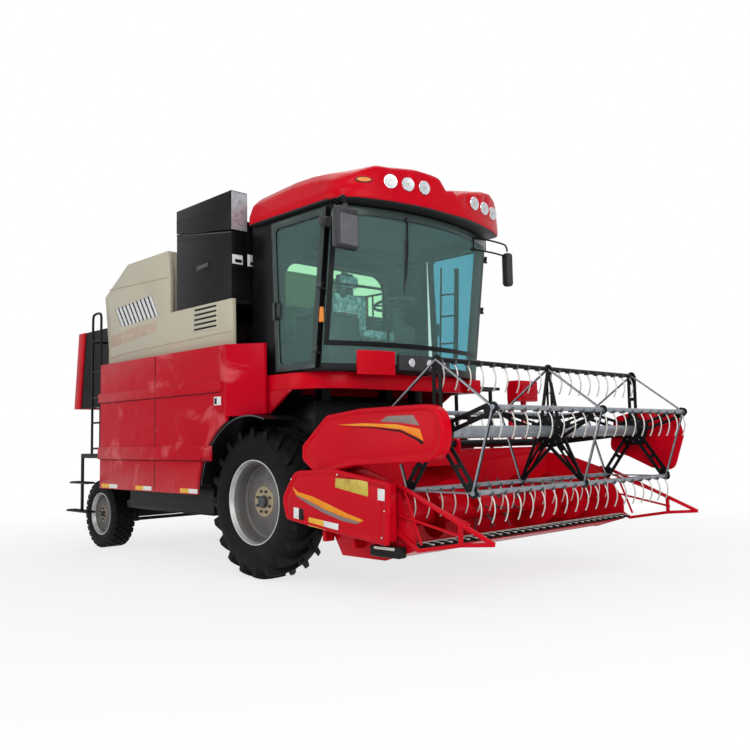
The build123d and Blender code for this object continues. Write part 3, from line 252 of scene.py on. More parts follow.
# colour, second colour and its share, roughness and so on, in one table of finishes
plain = {"shine": 0.3, "colour": (0.5, 0.5, 0.5), "patch": (0.4, 0.4, 0.4), "share": 0.5, "scale": 2.0,
    "cut": (0.45, 0.75), "rough": 0.4, "metal": 0.0, "coat": 0.0, "coatRough": 0.1, "dustAndReflection": 0.0,
    "dustAndReflectionTop": 1.0, "dustAndReflectionColour": (0.42, 0.36, 0.28), "fine": 400.0, "coarse": 3.0, "balance": 0.8,
    "bump": 0.02, "depth": 0.01}
finishes = {
    "redPaint": {"colour": (0.56, 0.001, 0.010), "patch": (0.42, 0.001, 0.010), "share": 0.7, "scale": 1.3,
        "rough": 0.26, "shine": 0.06, "coat": 0.02, "dustAndReflection": 0.01, "dustAndReflectionTop": 1.2, "bump": 0.10,
        "depth": 0.02},
    "creamPaint": {"colour": (0.47, 0.43, 0.32), "patch": (0.41, 0.37, 0.27), "share": 0.7, "scale": 1.1,
                   "rough": 0.42, "coat": 0.05, "bump": 0.06, "depth": 0.02},
    "blackPaint": {"colour": (0.004, 0.004, 0.005), "patch": (0.010, 0.010, 0.011), "scale": 5.0,
        "rough": 0.34, "shine": 0.09, "dustAndReflection": 0.03, "dustAndReflectionTop": 0.9, "bump": 0.05},
    "ironCast": {"colour": (0.07, 0.075, 0.08), "patch": (0.03, 0.03, 0.03), "scale": 14.0, "rough": 0.6,
                 "metal": 0.4, "bump": 0.3, "balance": 0.2},
    "tyreRubber": {"colour": (0.004, 0.004, 0.0045), "patch": (0.009, 0.0085, 0.008), "scale": 12.0,
        "rough": 0.6, "shine": 0.06, "dustAndReflection": 0.02, "dustAndReflectionTop": 1.2, "bump": 0.15, "balance": 0.3,
        "fine": 250.0},
    "silverRim": {"colour": (0.50, 0.50, 0.49), "patch": (0.36, 0.35, 0.34), "share": 0.8, "scale": 7.0,
                  "rough": 0.36, "metal": 0.5, "dustAndReflection": 0.05, "dustAndReflectionTop": 1.2, "bump": 0.06},
    # the rim's inner barrel and dish: the silver darkened, painted shade in the hollow of the wheel
    "rimShade": {"colour": (0.13, 0.125, 0.12), "patch": (0.085, 0.08, 0.075), "share": 0.8, "scale": 9.0,
                "rough": 0.5, "metal": 0.2, "dustAndReflection": 0.06, "dustAndReflectionTop": 1.2, "bump": 0.08},
    "lampLens": {"colour": (0.55, 0.57, 0.58), "patch": (0.34, 0.36, 0.39), "scale": 60.0, "rough": 0.12,
                 "metal": 0.3, "coat": 0.3, "bump": 0.5, "fine": 120.0, "balance": 0.2},
    "seatCloth": {"colour": (0.05, 0.055, 0.06), "patch": (0.08, 0.085, 0.09), "scale": 40.0, "rough": 0.85,
                  "bump": 0.4, "fine": 500.0, "balance": 0.1},
    "blackPlastic": {"colour": (0.02, 0.02, 0.022), "patch": (0.035, 0.035, 0.038), "scale": 18.0,
        "rough": 0.5, "bump": 0.12, "fine": 350.0, "balance": 0.15},
    "chromeRod": {"colour": (0.62, 0.62, 0.64), "patch": (0.5, 0.5, 0.52), "scale": 20.0, "rough": 0.14,
                  "metal": 1.0, "bump": 0.02},
    "blackGloss": {"colour": (0.005, 0.005, 0.006), "patch": (0.011, 0.011, 0.012), "scale": 9.0,
        "rough": 0.34, "shine": 0.08, "bump": 0.04},
    "glassBand": {"colour": (0.030, 0.048, 0.044), "patch": (0.055, 0.080, 0.074), "scale": 1.6,
        "rough": 0.16, "shine": 0.2, "bump": 0.02},
    "mirrorShell": {"colour": (0.10, 0.10, 0.11), "patch": (0.16, 0.155, 0.165), "scale": 7.0, "rough": 0.3,
        "shine": 0.2, "bump": 0.05},
    "paleTine": {"colour": (0.52, 0.50, 0.46), "patch": (0.36, 0.33, 0.30), "scale": 30.0, "rough": 0.4,
        "metal": 0.3},
    "mirrorFace": {"colour": (0.36, 0.40, 0.42), "patch": (0.30, 0.33, 0.35), "scale": 12.0, "rough": 0.08,
        "metal": 0.8, "bump": 0.0},
    "hubBronze": {"colour": (0.33, 0.26, 0.17), "patch": (0.20, 0.16, 0.11), "scale": 18.0, "rough": 0.5,
                  "metal": 0.6, "bump": 0.05},
    # the red panels: the paler crisp-edged patches are painted reflections, and the pink near the ground is a
    # painted reflection too
    "redPanel": {"colour": (0.47, 0.001, 0.012), "patch": (0.70, 0.14, 0.15), "share": 0.45, "scale": 2.6,
        "cut": (0.57, 0.68), "rough": 0.24, "shine": 0.06, "bump": 0.45, "depth": 0.03, "coarse": 4.5,
        "balance": 0.95, "dustAndReflection": 0.32, "dustAndReflectionTop": 1.0, "dustAndReflectionColour": (0.85, 0.42, 0.38)},
    "redShade": {"colour": (0.10, 0.0005, 0.003), "patch": (0.16, 0.001, 0.004), "rough": 0.5, "shine": 0.05},
    "redSheen": {"colour": (0.68, 0.10, 0.11), "patch": (0.58, 0.03, 0.05), "scale": 6.0, "rough": 0.3,
        "shine": 0.1},
    "goldStripe": {"colour": (0.78, 0.30, 0.01), "patch": (0.85, 0.14, 0.01), "share": 0.9, "scale": 3.0,
        "rough": 0.3, "shine": 0.15},
    "ashStripe": {"colour": (0.20, 0.15, 0.14), "patch": (0.30, 0.17, 0.12), "scale": 5.0, "rough": 0.35},
    "strawLabel": {"colour": (0.55, 0.42, 0.05), "patch": (0.40, 0.20, 0.03), "share": 0.9, "scale": 14.0,
        "rough": 0.3},
    # the tan band, and the thin painted shadow line below each cream fold
    "tanBandAndShade": {"colour": (0.44, 0.33, 0.24), "patch": (0.52, 0.42, 0.33), "share": 0.8, "scale": 9.0,
        "rough": 0.5},
    "zincSheet": {"colour": (0.40, 0.43, 0.45), "patch": (0.22, 0.24, 0.26), "share": 0.9, "scale": 22.0,
        "rough": 0.35, "metal": 0.5},
    "amberLens": {"colour": (0.75, 0.22, 0.01), "patch": (0.55, 0.10, 0.01), "scale": 40.0, "rough": 0.2,
        "coat": 0.3, "bump": 0.3, "fine": 160.0, "balance": 0.2},
    # the plastic film round the seat: its pale patches are painted highlights of the crinkled film
    "wrapFilm": {"colour": (0.20, 0.31, 0.31), "patch": (0.55, 0.72, 0.71), "share": 0.9, "scale": 22.0,
        "cut": (0.42, 0.68), "rough": 0.18, "coat": 0.4, "bump": 0.9, "depth": 0.03, "coarse": 9.0,
        "balance": 0.85},
    "yellowStrip": {"colour": (0.80, 0.42, 0.02), "patch": (0.60, 0.30, 0.02), "scale": 30.0, "rough": 0.3},
    "whiteStrip": {"colour": (0.75, 0.75, 0.72), "patch": (0.55, 0.55, 0.52), "scale": 30.0, "rough": 0.3},
    "orangePaint": {"colour": (0.72, 0.16, 0.01), "patch": (0.80, 0.35, 0.03), "scale": 8.0, "rough": 0.3},
    "paleSlat": {"colour": (0.68, 0.68, 0.66), "patch": (0.5, 0.5, 0.48), "scale": 14.0, "rough": 0.4},
    "reelGrey": {"colour": (0.20, 0.22, 0.24), "patch": (0.33, 0.35, 0.37), "share": 0.8, "scale": 16.0,
                 "rough": 0.34, "metal": 0.5, "bump": 0.05},
}


def blend(tree, base, colour, mask, share):
    # mixes a second colour into base where the mask lies
    weak = addNode(tree, "Math", {1: share}, operation="MULTIPLY")
    mix = addNode(tree, "Mix", {7: (*colour, 1)}, data_type="RGBA")
    wire(tree, (mask, weak.inputs[0]), (weak.outputs[0], mix.inputs["Factor"]))
    if isinstance(base, bpy.types.NodeSocket):
        wire(tree, (base, mix.inputs[6]))
    else:
        setInputs(mix, {6: (*base, 1)})
    return mix.outputs[2]


def makeFinish(name, look):
    look = {**plain, **look}
    material, tree, shader = newMaterial(name)
    place = addNode(tree, "TexCoord").outputs["Object"]
    low, high = look["cut"]
    spread = addNode(tree, "Group", {"Scale": look["scale"], "From": low, "To": high}, node_tree=patches)
    colour = blend(tree, look["colour"], look["patch"], spread.outputs["Mask"], look["share"])
    wire(tree, (place, spread.inputs["Vector"]))
    # dust near the ground; on the red panels the same mask paints a pink reflection
    if look["dustAndReflection"]:
        dustAndReflection = addNode(tree, "Group", {"Top": look["dustAndReflectionTop"]}, node_tree=dustAndReflectionMask)
        colour = blend(tree, colour, look["dustAndReflectionColour"], dustAndReflection.outputs["Mask"], look["dustAndReflection"] * 2)
        wire(tree, (place, dustAndReflection.inputs["Vector"]))
    setInputs(shader, {"Metallic": look["metal"], "Specular IOR Level": look["shine"],
        "Coat Weight": look["coat"], "Coat Roughness": look["coatRough"], "Roughness": look["rough"]})
    height = addNode(tree, "Group", {"Fine": look["fine"], "Coarse": look["coarse"],
        "Balance": look["balance"]}, node_tree=grain)
    bump = addNode(tree, "Bump", {"Strength": look["bump"], "Distance": look["depth"]})
    wire(tree, (colour, shader.inputs["Base Color"]), (place, height.inputs["Vector"]),
        (height.outputs["Height"], bump.inputs["Height"]), (bump.outputs["Normal"], shader.inputs["Normal"]))
    return material


materials = {name: makeFinish(name, look) for name, look in finishes.items()}

# each glass is clear only in its clear share: the rest shows the glass's colour lit as a haze, a painted
# reflection of the sky on the pane; through the clear share the colour tints the view
glassLooks = {
    "paneGlass": {"colour": (0.34, 0.50, 0.30, 1), "rough": 0.02, "clear": 0.93,
        "light": (0.85, 0.92, 0.90, 1)},
    "tintedGlass": {"colour": (0.50, 0.72, 0.68, 1), "rough": 0.02, "clear": 0.93,
        "light": (0.80, 0.90, 0.88, 1)},
    # the far door's glass: a stronger blue and less clear, painted sky seen through it
    "blueGlass": {"colour": (0.16, 0.52, 0.72, 1), "rough": 0.02, "clear": 0.86,
        "light": (0.70, 0.88, 0.95, 1)},
}
thinPane = 1.05  # index of refraction: a thin pane hardly bends the light


def makeGlass(name, look):
    material, tree, shader = newMaterial(name)
    setInputs(shader, {"Base Color": look["colour"], "Roughness": look["rough"],
        "Transmission Weight": look["clear"], "IOR": thinPane})
    # light that falls on the glass goes through it, tinted
    path = addNode(tree, "LightPath")
    through = addNode(tree, "BsdfTransparent", {"Color": look["light"]})
    mix = addNode(tree, "MixShader")
    wire(tree, (path.outputs["Is Shadow Ray"], mix.inputs["Fac"]), (shader.outputs[0], mix.inputs[1]),
        (through.outputs[0], mix.inputs[2]), (mix.outputs[0],
        tree.nodes["Material Output"].inputs["Surface"]))
    return material


materials.update({name: makeGlass(name, look) for name, look in glassLooks.items()})

slotFinish = {
    "red_paint": "redPaint", "cream_paint": "creamPaint", "black_paint": "blackPaint",
        "engine_iron": "ironCast",
    "glass": "tintedGlass", "tyre": "tyreRubber", "rim_silver": "silverRim", "lamp_lens": "lampLens",
    "seat_fabric": "seatCloth", "black_plastic": "blackPlastic", "chrome_rod": "chromeRod",
        "reel_grey": "reelGrey",
}
for node, slot in slotOfNode.items():
    nodes[node].data.materials.clear()
    nodes[node].data.materials.append(materials[slotFinish[slot]])
print("stage: finishes")


# shapes: places and corners are given in the shared frame, except where a helper says otherwise
def startPiece(shape=None):
    if bpy.context.mode != "OBJECT":
        bpy.ops.object.mode_set(mode="OBJECT")
    bpy.ops.object.select_all(action="DESELECT")
    if shape:
        shape.select_set(True)
        bpy.context.view_layer.objects.active = shape


def editAll():
    bpy.ops.object.mode_set(mode="EDIT")
    bpy.ops.mesh.select_all(action="SELECT")


def newObject(name, data):
    shape = bpy.data.objects.new(name, data)
    bpy.context.scene.collection.objects.link(shape)
    return shape


def newMesh(name, spots, faces):
    mesh = bpy.data.meshes.new(name)
    mesh.from_pydata(spots, [], faces)
    return newObject(name, mesh)


def settle(shape, finish=None, smooth=35):
    # puts a new shape's place into its mesh, and smooths what is flatter than the angle
    startPiece(shape)
    if shape.type != "MESH":
        bpy.ops.object.convert(target="MESH")
        shape = bpy.context.object
    bpy.ops.object.transform_apply(location=True, rotation=True, scale=True)
    if smooth:
        bpy.ops.object.shade_smooth_by_angle(angle=math.radians(smooth))
    if finish:
        shape.data.materials.clear()
        shape.data.materials.append(materials[finish])
    return shape


def applyModifier(shape, kind, **values):
    bpy.context.view_layer.objects.active = shape
    modifier = shape.modifiers.new(kind.lower(), kind)
    for key, value in values.items():
        setattr(modifier, key, value)
    bpy.ops.object.modifier_apply(modifier=modifier.name)
    return shape


def roundEdges(shape, width, steps=2, angle=30):
    if width:
        applyModifier(shape, "BEVEL", width=width, segments=steps, limit_method="ANGLE",
            angle_limit=math.radians(angle), harden_normals=False)
    return shape


def closeUp(shape, gap=0.0001):
    # merges doubles and turns every face outwards
    startPiece(shape)
    editAll()
    bpy.ops.mesh.remove_doubles(threshold=gap)
    bpy.ops.mesh.normals_make_consistent(inside=False)
    bpy.ops.object.mode_set(mode="OBJECT")
    return shape


def addBlock(low, high, finish, bevel=0.0, steps=2):
    startPiece()
    low, high = Vector(low), Vector(high)
    bpy.ops.mesh.primitive_cube_add(size=1, location=(low + high) / 2, scale=high - low)
    shape = settle(bpy.context.object, finish)
    roundEdges(shape, bevel, steps)
    return settle(shape, finish)


def addRod(start, end, radius, finish, sides=16, bevel=0.0):
    startPiece()
    start, end = Vector(start), Vector(end)
    way = end - start
    bpy.ops.mesh.primitive_cylinder_add(vertices=sides, radius=radius, depth=way.length,
        location=(start + end) / 2, rotation=way.to_track_quat("Z", "Y").to_euler())
    shape = settle(bpy.context.object, finish)
    roundEdges(shape, bevel)
    return settle(shape, finish)


def addTube(points, radius, finish, round=4, fine=4, closed=False, bends=True):
    # a round bar that follows points, in smooth curves or in straight runs
    startPiece()
    line = bpy.data.curves.new("tube", "CURVE")
    line.dimensions = "3D"
    line.bevel_depth = radius
    line.bevel_resolution = fine - 2
    line.use_fill_caps = True
    spline = line.splines.new("NURBS" if bends else "POLY")
    spline.points.add(len(points) - 1)
    for spot, point in zip(spline.points, points):
        spot.co = (*point, 1)
    spline.use_cyclic_u = closed
    if bends:
        spline.use_endpoint_u = not closed
        spline.order_u = 3
        line.resolution_u = round
    return settle(newObject("tube", line), finish, 60)


def addPlate(outline, low, high, finish, bevel=0.0, holes=(), axis="Y", smooth=35):
    # a flat outline filled and thickened between two places on an axis: points are (X, Z) for Y, (Y, Z) for X
    startPiece()
    flat = bpy.data.curves.new("plate", "CURVE")
    flat.dimensions = "2D"
    flat.fill_mode = "BOTH"
    flat.extrude = (high - low) / 2 - bevel
    flat.bevel_depth = bevel
    flat.bevel_resolution = 1
    flat.offset = -bevel
    for ring in (outline, *holes):
        spline = flat.splines.new("POLY")
        spline.points.add(len(ring) - 1)
        for spot, point in zip(spline.points, ring):
            spot.co = (point[0], point[1], 0, 1)
        spline.use_cyclic_u = True
    shape = newObject("plate", flat)
    middle = (low + high) / 2
    if axis == "Y":
        shape.rotation_euler = (math.pi / 2, 0, 0)
        shape.location = (0, middle, 0)
    elif axis == "X":
        shape.rotation_euler = (math.pi / 2, 0, math.pi / 2)
        shape.location = (middle, 0, 0)
    else:
        shape.location = (0, 0, middle)
    return settle(closeUp(settle(shape, finish, 0)), finish, smooth)


def addTurned(profile, middle, finish, sides=64, closed=False):
    # rings about an axis along Y through a middle: each ring is (distance along Y, radius)
    startPiece()
    middle = Vector(middle)
    first = profile[0]
    bpy.ops.mesh.primitive_circle_add(vertices=sides, radius=first[1],
        location=middle + Vector((0, first[0], 0)), rotation=(math.pi / 2, 0, 0))
    shape = bpy.context.object
    bpy.ops.object.transform_apply(location=True, rotation=True, scale=True)
    editAll()
    before = first
    for ring in (*profile[1:], *((first,) if closed else ())):
        bpy.ops.mesh.extrude_region_move(TRANSFORM_OT_translate={"value": (0, ring[0] - before[0], 0)})
        size = ring[1] / before[1]
        bpy.ops.transform.resize(value=(size, 1, size), center_override=middle)
        before = ring
    bpy.ops.object.mode_set(mode="OBJECT")
    return settle(closeUp(shape), finish)


def copyOf(shape, matrix):
    twin = newObject(shape.name, shape.data.copy())
    twin.data.transform(matrix)
    return twin


def addBlocks(*rows):
    # blocks between corners given from the machine's zero: low, high, finish, edge width and its steps
    return [addBlock(at(*low), at(*high), *look) for low, high, *look in rows]


def addRods(*rows):
    # rods between places given from the machine's zero: start, end, radius, finish, sides and edge width
    return [addRod(at(*start), at(*end), *look) for start, end, *look in rows]


def tubeAt(spots, *look):
    # a bent bar through places given from the machine's zero
    return addTube([at(*spot) for spot in spots], *look)


def addSideBlock(side, near, far, start, stop, *look):
    # a block on one side of the machine: two distances from its middle plane, and two (X, Z) corners
    low, high = sorted((side * near, side * far))
    return addBlock(at(start[0], low, start[1]), at(stop[0], high, stop[1]), *look)


def turnBy(degrees, axis="Y"):
    return Matrix.Rotation(math.radians(degrees), 4, axis)


def putAt(shape, matrix):
    # moves a mesh by a matrix, and turns its faces outwards again
    shape.data.transform(matrix)
    return closeUp(shape)


def joinAll(parts):
    startPiece()
    for part in parts:
        part.select_set(True)
    bpy.context.view_layer.objects.active = parts[0]
    if len(parts) > 1:
        bpy.ops.object.join()
    return bpy.context.object


def finishPiece(name, body, parts, replaced=()):
    shape = joinAll(list(parts))
    shape.name = shape.data.name = name
    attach(shape, body)
    if replaced:
        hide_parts(*replaced)
    return shape


def standIn(node, name, parts):
    # a piece in the place of a CAD node, on that node's body
    return finishPiece(name, bodyOfNode[node], parts, (node,))


def paintWhere(shape, finish, test):
    # gives the faces whose middles pass a test another finish
    shape.data.materials.append(materials[finish])
    slotNumber = len(shape.data.materials) - 1
    for face in shape.data.polygons:
        if test(face.center - zero, face.normal):
            face.material_index = slotNumber
    return shape


def softCopy(node, finish, width=0.004, steps=2):
    # a copy of a CAD node's mesh with its doubles merged, its flat faces joined and its edges rounded
    twin = nodes[node].copy()
    twin.data = nodes[node].data.copy()
    for key in list(twin.keys()):
        del twin[key]
    bpy.context.scene.collection.objects.link(twin)
    twin.parent = None
    startPiece(twin)
    editAll()
    bpy.ops.mesh.remove_doubles(threshold=0.0002)
    bpy.ops.mesh.dissolve_limited(angle_limit=math.radians(1))
    bpy.ops.object.mode_set(mode="OBJECT")
    roundEdges(twin, width, steps)
    return settle(twin, finish)


wheels = {
    "front": {"width": 0.38, "rim": 0.346, "bars": 20, "barHeight": 0.036, "barThick": 0.042,
        "treadBase": 0.609, "slices": 6, "swing": 0.30, "drop": 0.030},
    "rear": {"width": 0.26, "rim": 0.220, "blocks": 30, "barHeight": 0.014, "treadBase": 0.361},
}


def addFrontBar(side, look):
    # one bar of the tread, at the top of the tyre: a cube in slices that swing back and drop to the shoulder
    half, base, top = look["width"] / 2, look["treadBase"], look["treadBase"] + look["barHeight"]
    startPiece()
    bpy.ops.mesh.primitive_cube_add(size=1, location=(0, 0, 0), scale=(look["barThick"], half, 1))
    bar = settle(bpy.context.object)
    editAll()
    for cut in range(1, look["slices"]):
        bpy.ops.mesh.bisect(plane_co=(0, -half / 2 + half * cut / look["slices"], 0), plane_no=(0, 1, 0))
        bpy.ops.mesh.select_all(action="SELECT")
    bpy.ops.object.mode_set(mode="OBJECT")
    for spot in bar.data.vertices:
        share = (spot.co.y + half / 2) / half
        swing = look["swing"] * share ** 0.8
        drop = look["drop"] * max(0, share - 0.62) ** 1.5 / 0.12
        high = top - 0.4 * drop if spot.co.z > 0 else base - 0.03 - 0.9 * drop
        wide = spot.co.x * (1.12 if spot.co.z < 0 else 0.82) * (1 + 0.5 * share)
        angle = swing + wide / high
        spot.co = (high * math.sin(angle), (share * 0.965 - 0.03) * half, high * math.cos(angle))
    if side < 0:
        bar.data.transform(Matrix.Scale(-1, 4, (0, 1, 0)))
    return settle(closeUp(roundEdges(bar, 0.005, 2, 25)), "tyreRubber", 40)


def addFrontTyre(middle, look):
    half, base, rim = look["width"] / 2, look["treadBase"], look["rim"]
    wall = [(half - 0.028, rim + 0.002), (half - 0.022, rim + 0.016), (half - 0.010, rim + 0.035),
        (half - 0.001, rim + 0.085), (half - 0.0005, rim + 0.13), (half - 0.006, rim + 0.18),
        (half - 0.022, base - 0.055), (half - 0.048, base - 0.018), (half * 0.5, base - 0.004)]
    ring = [(-y, radius) for y, radius in wall] + [(0, base)] + wall[::-1]
    inner = [(half - 0.05, rim + 0.001), (-half + 0.05, rim + 0.001)]
    parts = [addTurned(ring + inner, middle, "tyreRubber", 96, closed=True)]
    step = 360 / look["bars"]
    for edge in (-1, 1):
        bar = addFrontBar(edge, look)
        for number in range(look["bars"]):
            turn = 90 + step * (number + 0.25 * (1 + edge))
            parts.append(copyOf(bar, Matrix.Translation(middle) @ turnBy(turn)))
        bpy.data.objects.remove(bar)
    return parts


def addRearTyre(middle, look):
    half, base, rim = look["width"] / 2, look["treadBase"], look["rim"]
    wall = [(half - 0.027, rim + 0.001), (half - 0.018, rim + 0.014), (half - 0.004, rim + 0.05),
        (half - 0.001, rim + 0.085), (half - 0.008, base - 0.03), (half - 0.03, base - 0.004)]
    ring = [(-y, radius) for y, radius in wall] + [(0, base)] + wall[::-1]
    parts = [addTurned(ring + [(half - 0.04, rim + 0.001), (0.04 - half, rim + 0.001)], middle, "tyreRubber",
        80, closed=True)]
    step = 360 / look["blocks"]
    top = base + look["barHeight"]
    for row, lag, thick in ((-0.86, 0, 0.055), (-0.42, 0.5, 0.050), (0, 0, 0.050), (0.42, 0.5, 0.050),
            (0.86, 0, 0.055)):
        reach = row * (half - 0.02)
        low = 0.016 if abs(row) < 0.6 else 0.030
        block = addBlock((-thick / 2, reach - 0.020, top - low), (thick / 2, reach + 0.020, top - 0.002),
            "tyreRubber", 0.003, 1)
        for number in range(look["blocks"]):
            spin = turnBy(step * (number + lag))
            parts.append(copyOf(block, Matrix.Translation(middle) @ spin))
        bpy.data.objects.remove(block)
    return parts


rims = {"front": {"seat": 0.165, "dish": 0.145, "hub": 0.135, "bolts": 8, "boltRing": 0.092, "cap": 0.052},
    "rear": {"seat": 0.105, "dish": 0.060, "hub": 0.085, "bolts": 8, "boltRing": 0.062, "cap": 0.034}}


def addRim(middle, side, end):
    look, rim = rims[end], wheels[end]["rim"]
    seat, dish = look["seat"], look["dish"]
    barrel = [(seat + 0.0075, rim + 0.013), (seat + 0.0075, rim + 0.004), (seat - 0.004, rim - 0.003),
        (seat - 0.030, rim - 0.008), (seat - 0.042, rim - 0.020), (seat - 0.075, rim - 0.026),
        (seat - dish + 0.012, rim - 0.034), (seat - dish, rim - 0.050), (seat - dish + 0.004, rim * 0.62),
        (seat - dish + 0.034, look["hub"] + 0.012), (seat - dish + 0.036, look["hub"]),
        (seat - dish + 0.036, look["cap"] + 0.02)]
    back = [(seat - dish + 0.028, look["cap"] + 0.02), (seat - dish + 0.028, look["hub"]),
        (seat - dish - 0.006, rim * 0.62), (seat - dish - 0.010, rim - 0.050),
        (seat - dish - 0.004, rim - 0.012), (-seat - 0.004, rim - 0.006), (-seat - 0.0075, rim + 0.012),
        (-seat - 0.002, rim + 0.014), (-seat + 0.002, rim), (seat - 0.006, rim), (seat + 0.001, rim + 0.014)]
    ring = addTurned([(side * y, radius) for y, radius in barrel + back], middle, "silverRim", 96,
        closed=True)
    # the inner barrel and dish take the darker grey: painted shade in the hollow of the wheel
    parts = [paintWhere(ring, "rimShade", lambda spot, way: math.hypot(spot.x - middle.x + zero.x,
        spot.z - middle.z) < rim - 0.006 and abs(spot.y - middle.y + zero.y) < seat - 0.012)]
    face = side * (seat - dish + 0.0365)
    parts.append(addTurned([(face, look["cap"]), (face + side * 0.006, look["cap"] + 0.001),
        (face + side * 0.006, look["hub"] - 0.006), (face, look["hub"] - 0.002)], middle,
        "hubBronze", 48, closed=True))
    cap = [(face - side * 0.02, look["cap"]), (face + side * 0.034, look["cap"] - 0.002),
        (face + side * 0.040, look["cap"] - 0.010), (face + side * 0.040, 0.004)]
    parts.append(addTurned(cap, middle, "ironCast", 32))
    for number in range(look["bolts"]):
        spot = turnBy(360 * (number + 0.5) / look["bolts"])
        start = middle + spot @ Vector((look["boltRing"], face, 0))
        for length, radius, sides, bevel in ((0.016, 0.013, 6, 0.002), (0.026, 0.007, 8, 0.001)):
            parts.append(addRod(start, start + Vector((0, side * length, 0)), radius, "ironCast", sides,
                bevel))
    return parts


for end, addTyre in (("front", addFrontTyre), ("rear", addRearTyre)):
    for name, side in (("right", -1), ("left", 1)):
        middle = middleOf(f"{end}_tyre_{name}")
        standIn(f"{end}_tyre_{name}", f"{end}Tyre{name.title()}", addTyre(middle, wheels[end]))
        standIn(f"{end}_rim_{name}", f"{end}Rim{name.title()}", addRim(middle, side, end))
print("stage: wheels")


def roundRing(points, radius, steps=6):
    # a flat outline with rounded corners: one radius for all corners, or one for each
    ring = []
    for number, here in enumerate(points):
        size = radius[number] if isinstance(radius, (tuple, list)) else radius
        before, after = Vector(points[number - 1]), Vector(points[(number + 1) % len(points)])
        here = Vector(here)
        inWay, outWay = (before - here).normalized(), (after - here).normalized()
        half = inWay.angle(outWay) / 2
        reach = min(size / math.tan(half), 0.49 * (before - here).length, 0.49 * (after - here).length)
        start, stop = here + inWay * reach, here + outWay * reach
        for step in range(steps + 1):
            share = step / steps
            ring.append(start * (1 - share) ** 2 + here * 2 * share * (1 - share) + stop * share ** 2)
    return [tuple(spot) for spot in ring]


def sideRing(points):
    # an (X, Z) outline given from the machine's zero, in the shared frame
    return [(zero.x + x, z) for x, z in points]


def crossRing(points):
    # a (Y, Z) outline given from the machine's zero, in the shared frame
    return [(zero.y + y, z) for y, z in points]


def dress(node, name, finish, width=0.004, steps=2, extra=()):
    # a CAD node with rounded edges, joined to what is added to it
    return standIn(node, name, [softCopy(node, finish, width, steps), *extra])


# small flat things that lie on a side or front: bare labels, stripes and lines
def addPatch(outline, y, finish, proud=0.0015, bevel=0.0004):
    low, high = sorted((y, y + math.copysign(proud, y)))
    return addPlate(sideRing(outline), zero.y + low, zero.y + high, finish, bevel)


def boxRing(low, high):
    return [(low[0], low[1]), (high[0], low[1]), (high[0], high[1]), (low[0], high[1])]


panels = {
    "ribs": ((1.648, 0.050, -2.668, -0.365), (1.061, 0.065, -2.668, -0.500)),
    "seam": -1.50, "outer": 1.300, "low": 0.70, "high": 2.0,
    "strips": ((-2.62, -2.27), (-1.88, -1.56), (-1.03, -0.73)), "stripZ": (0.697, 0.737),
    "label": ((-0.461, 1.482), (-0.351, 1.557)), "fold": (-0.335, 1.42, 1.995),
}


def addRib(middleZ, half, rear, front, side):
    # a pressed swage: a flat-topped ridge with sloping sides and closed ends, along X
    slope = ((-0.004, -1), (0.004, -1), (0.016, -0.55), (0.0185, -0.2))
    rows = [(panels["outer"] + proud, share * half) for proud, share in slope]
    ring = [(y, middleZ + z) for y, z in rows] + [(y, middleZ - z) for y, z in rows[::-1]]
    return addPlate(crossRing([(side * y, z) for y, z in ring]), zero.x + rear, zero.x + front, "redPanel", 0,
        axis="X", smooth=50)


def addSidePanels():
    parts = []
    outer = panels["outer"]
    for side in (-1, 1):
        for middleZ, half, rear, front in panels["ribs"]:
            parts.append(addRib(middleZ, half, rear, front, side))
            # the shadow below the rib, the sheen on its upper slope and the shade on its lower slope
            for z, tall, finish, proud in ((middleZ - half - 0.006, 0.004, "redShade", 0.0015),
                    (middleZ + half * 0.62, 0.003, "redSheen", 0.0185),
                    (middleZ - half * 0.75, 0.006, "redShade", 0.0105)):
                parts.append(addSideBlock(side, outer, outer + proud, (rear + 0.006, z - tall),
                    (front - 0.006, z + tall), finish, 0.0006, 1))
        seam = panels["seam"]
        parts.append(addSideBlock(side, outer, outer + 0.003, (seam - 0.004, panels["low"]),
            (seam + 0.004, panels["high"]), "blackPaint", 0.001, 1))
        low, high = panels["stripZ"]
        for rear, front in panels["strips"]:
            middle = (rear + front) / 2
            for start, stop, finish in ((rear, middle, "yellowStrip"), (middle, front, "whiteStrip")):
                parts.append(addSideBlock(side, outer, outer + 0.0025, (start, low), (stop, high), finish,
                    0.0008, 1))
        # a bare label, and the fold beside the front corner
        face = side * outer
        (rear, low), (front, high) = panels["label"]
        parts.append(addPatch(boxRing((rear, low), (front, high)), face, "whiteStrip"))
        parts.append(addPatch(boxRing((rear + 0.008, low + 0.010), (rear + 0.045, high - 0.012)), face,
            "blackPaint", 0.0022))
        x, low, high = panels["fold"]
        parts.append(addSideBlock(side, outer - 0.002, outer + 0.007, (x - 0.008, low), (x + 0.008, high),
            "redPanel", 0.004, 3))
    return parts


dress("side_panels", "sidePanels", "redPanel", 0.006, 2, addSidePanels())


louvres = {
    "outer": 1.190, "skin": 1.1895,
    "slanted": {"corners": ((-2.59, 2.625), (-1.78, 2.665), (-1.63, 2.44), (-2.43, 2.41)), "slats": 10},
    "level": {"slits": (-0.965, -0.584, 2.195, 2.425), "count": 5},
}


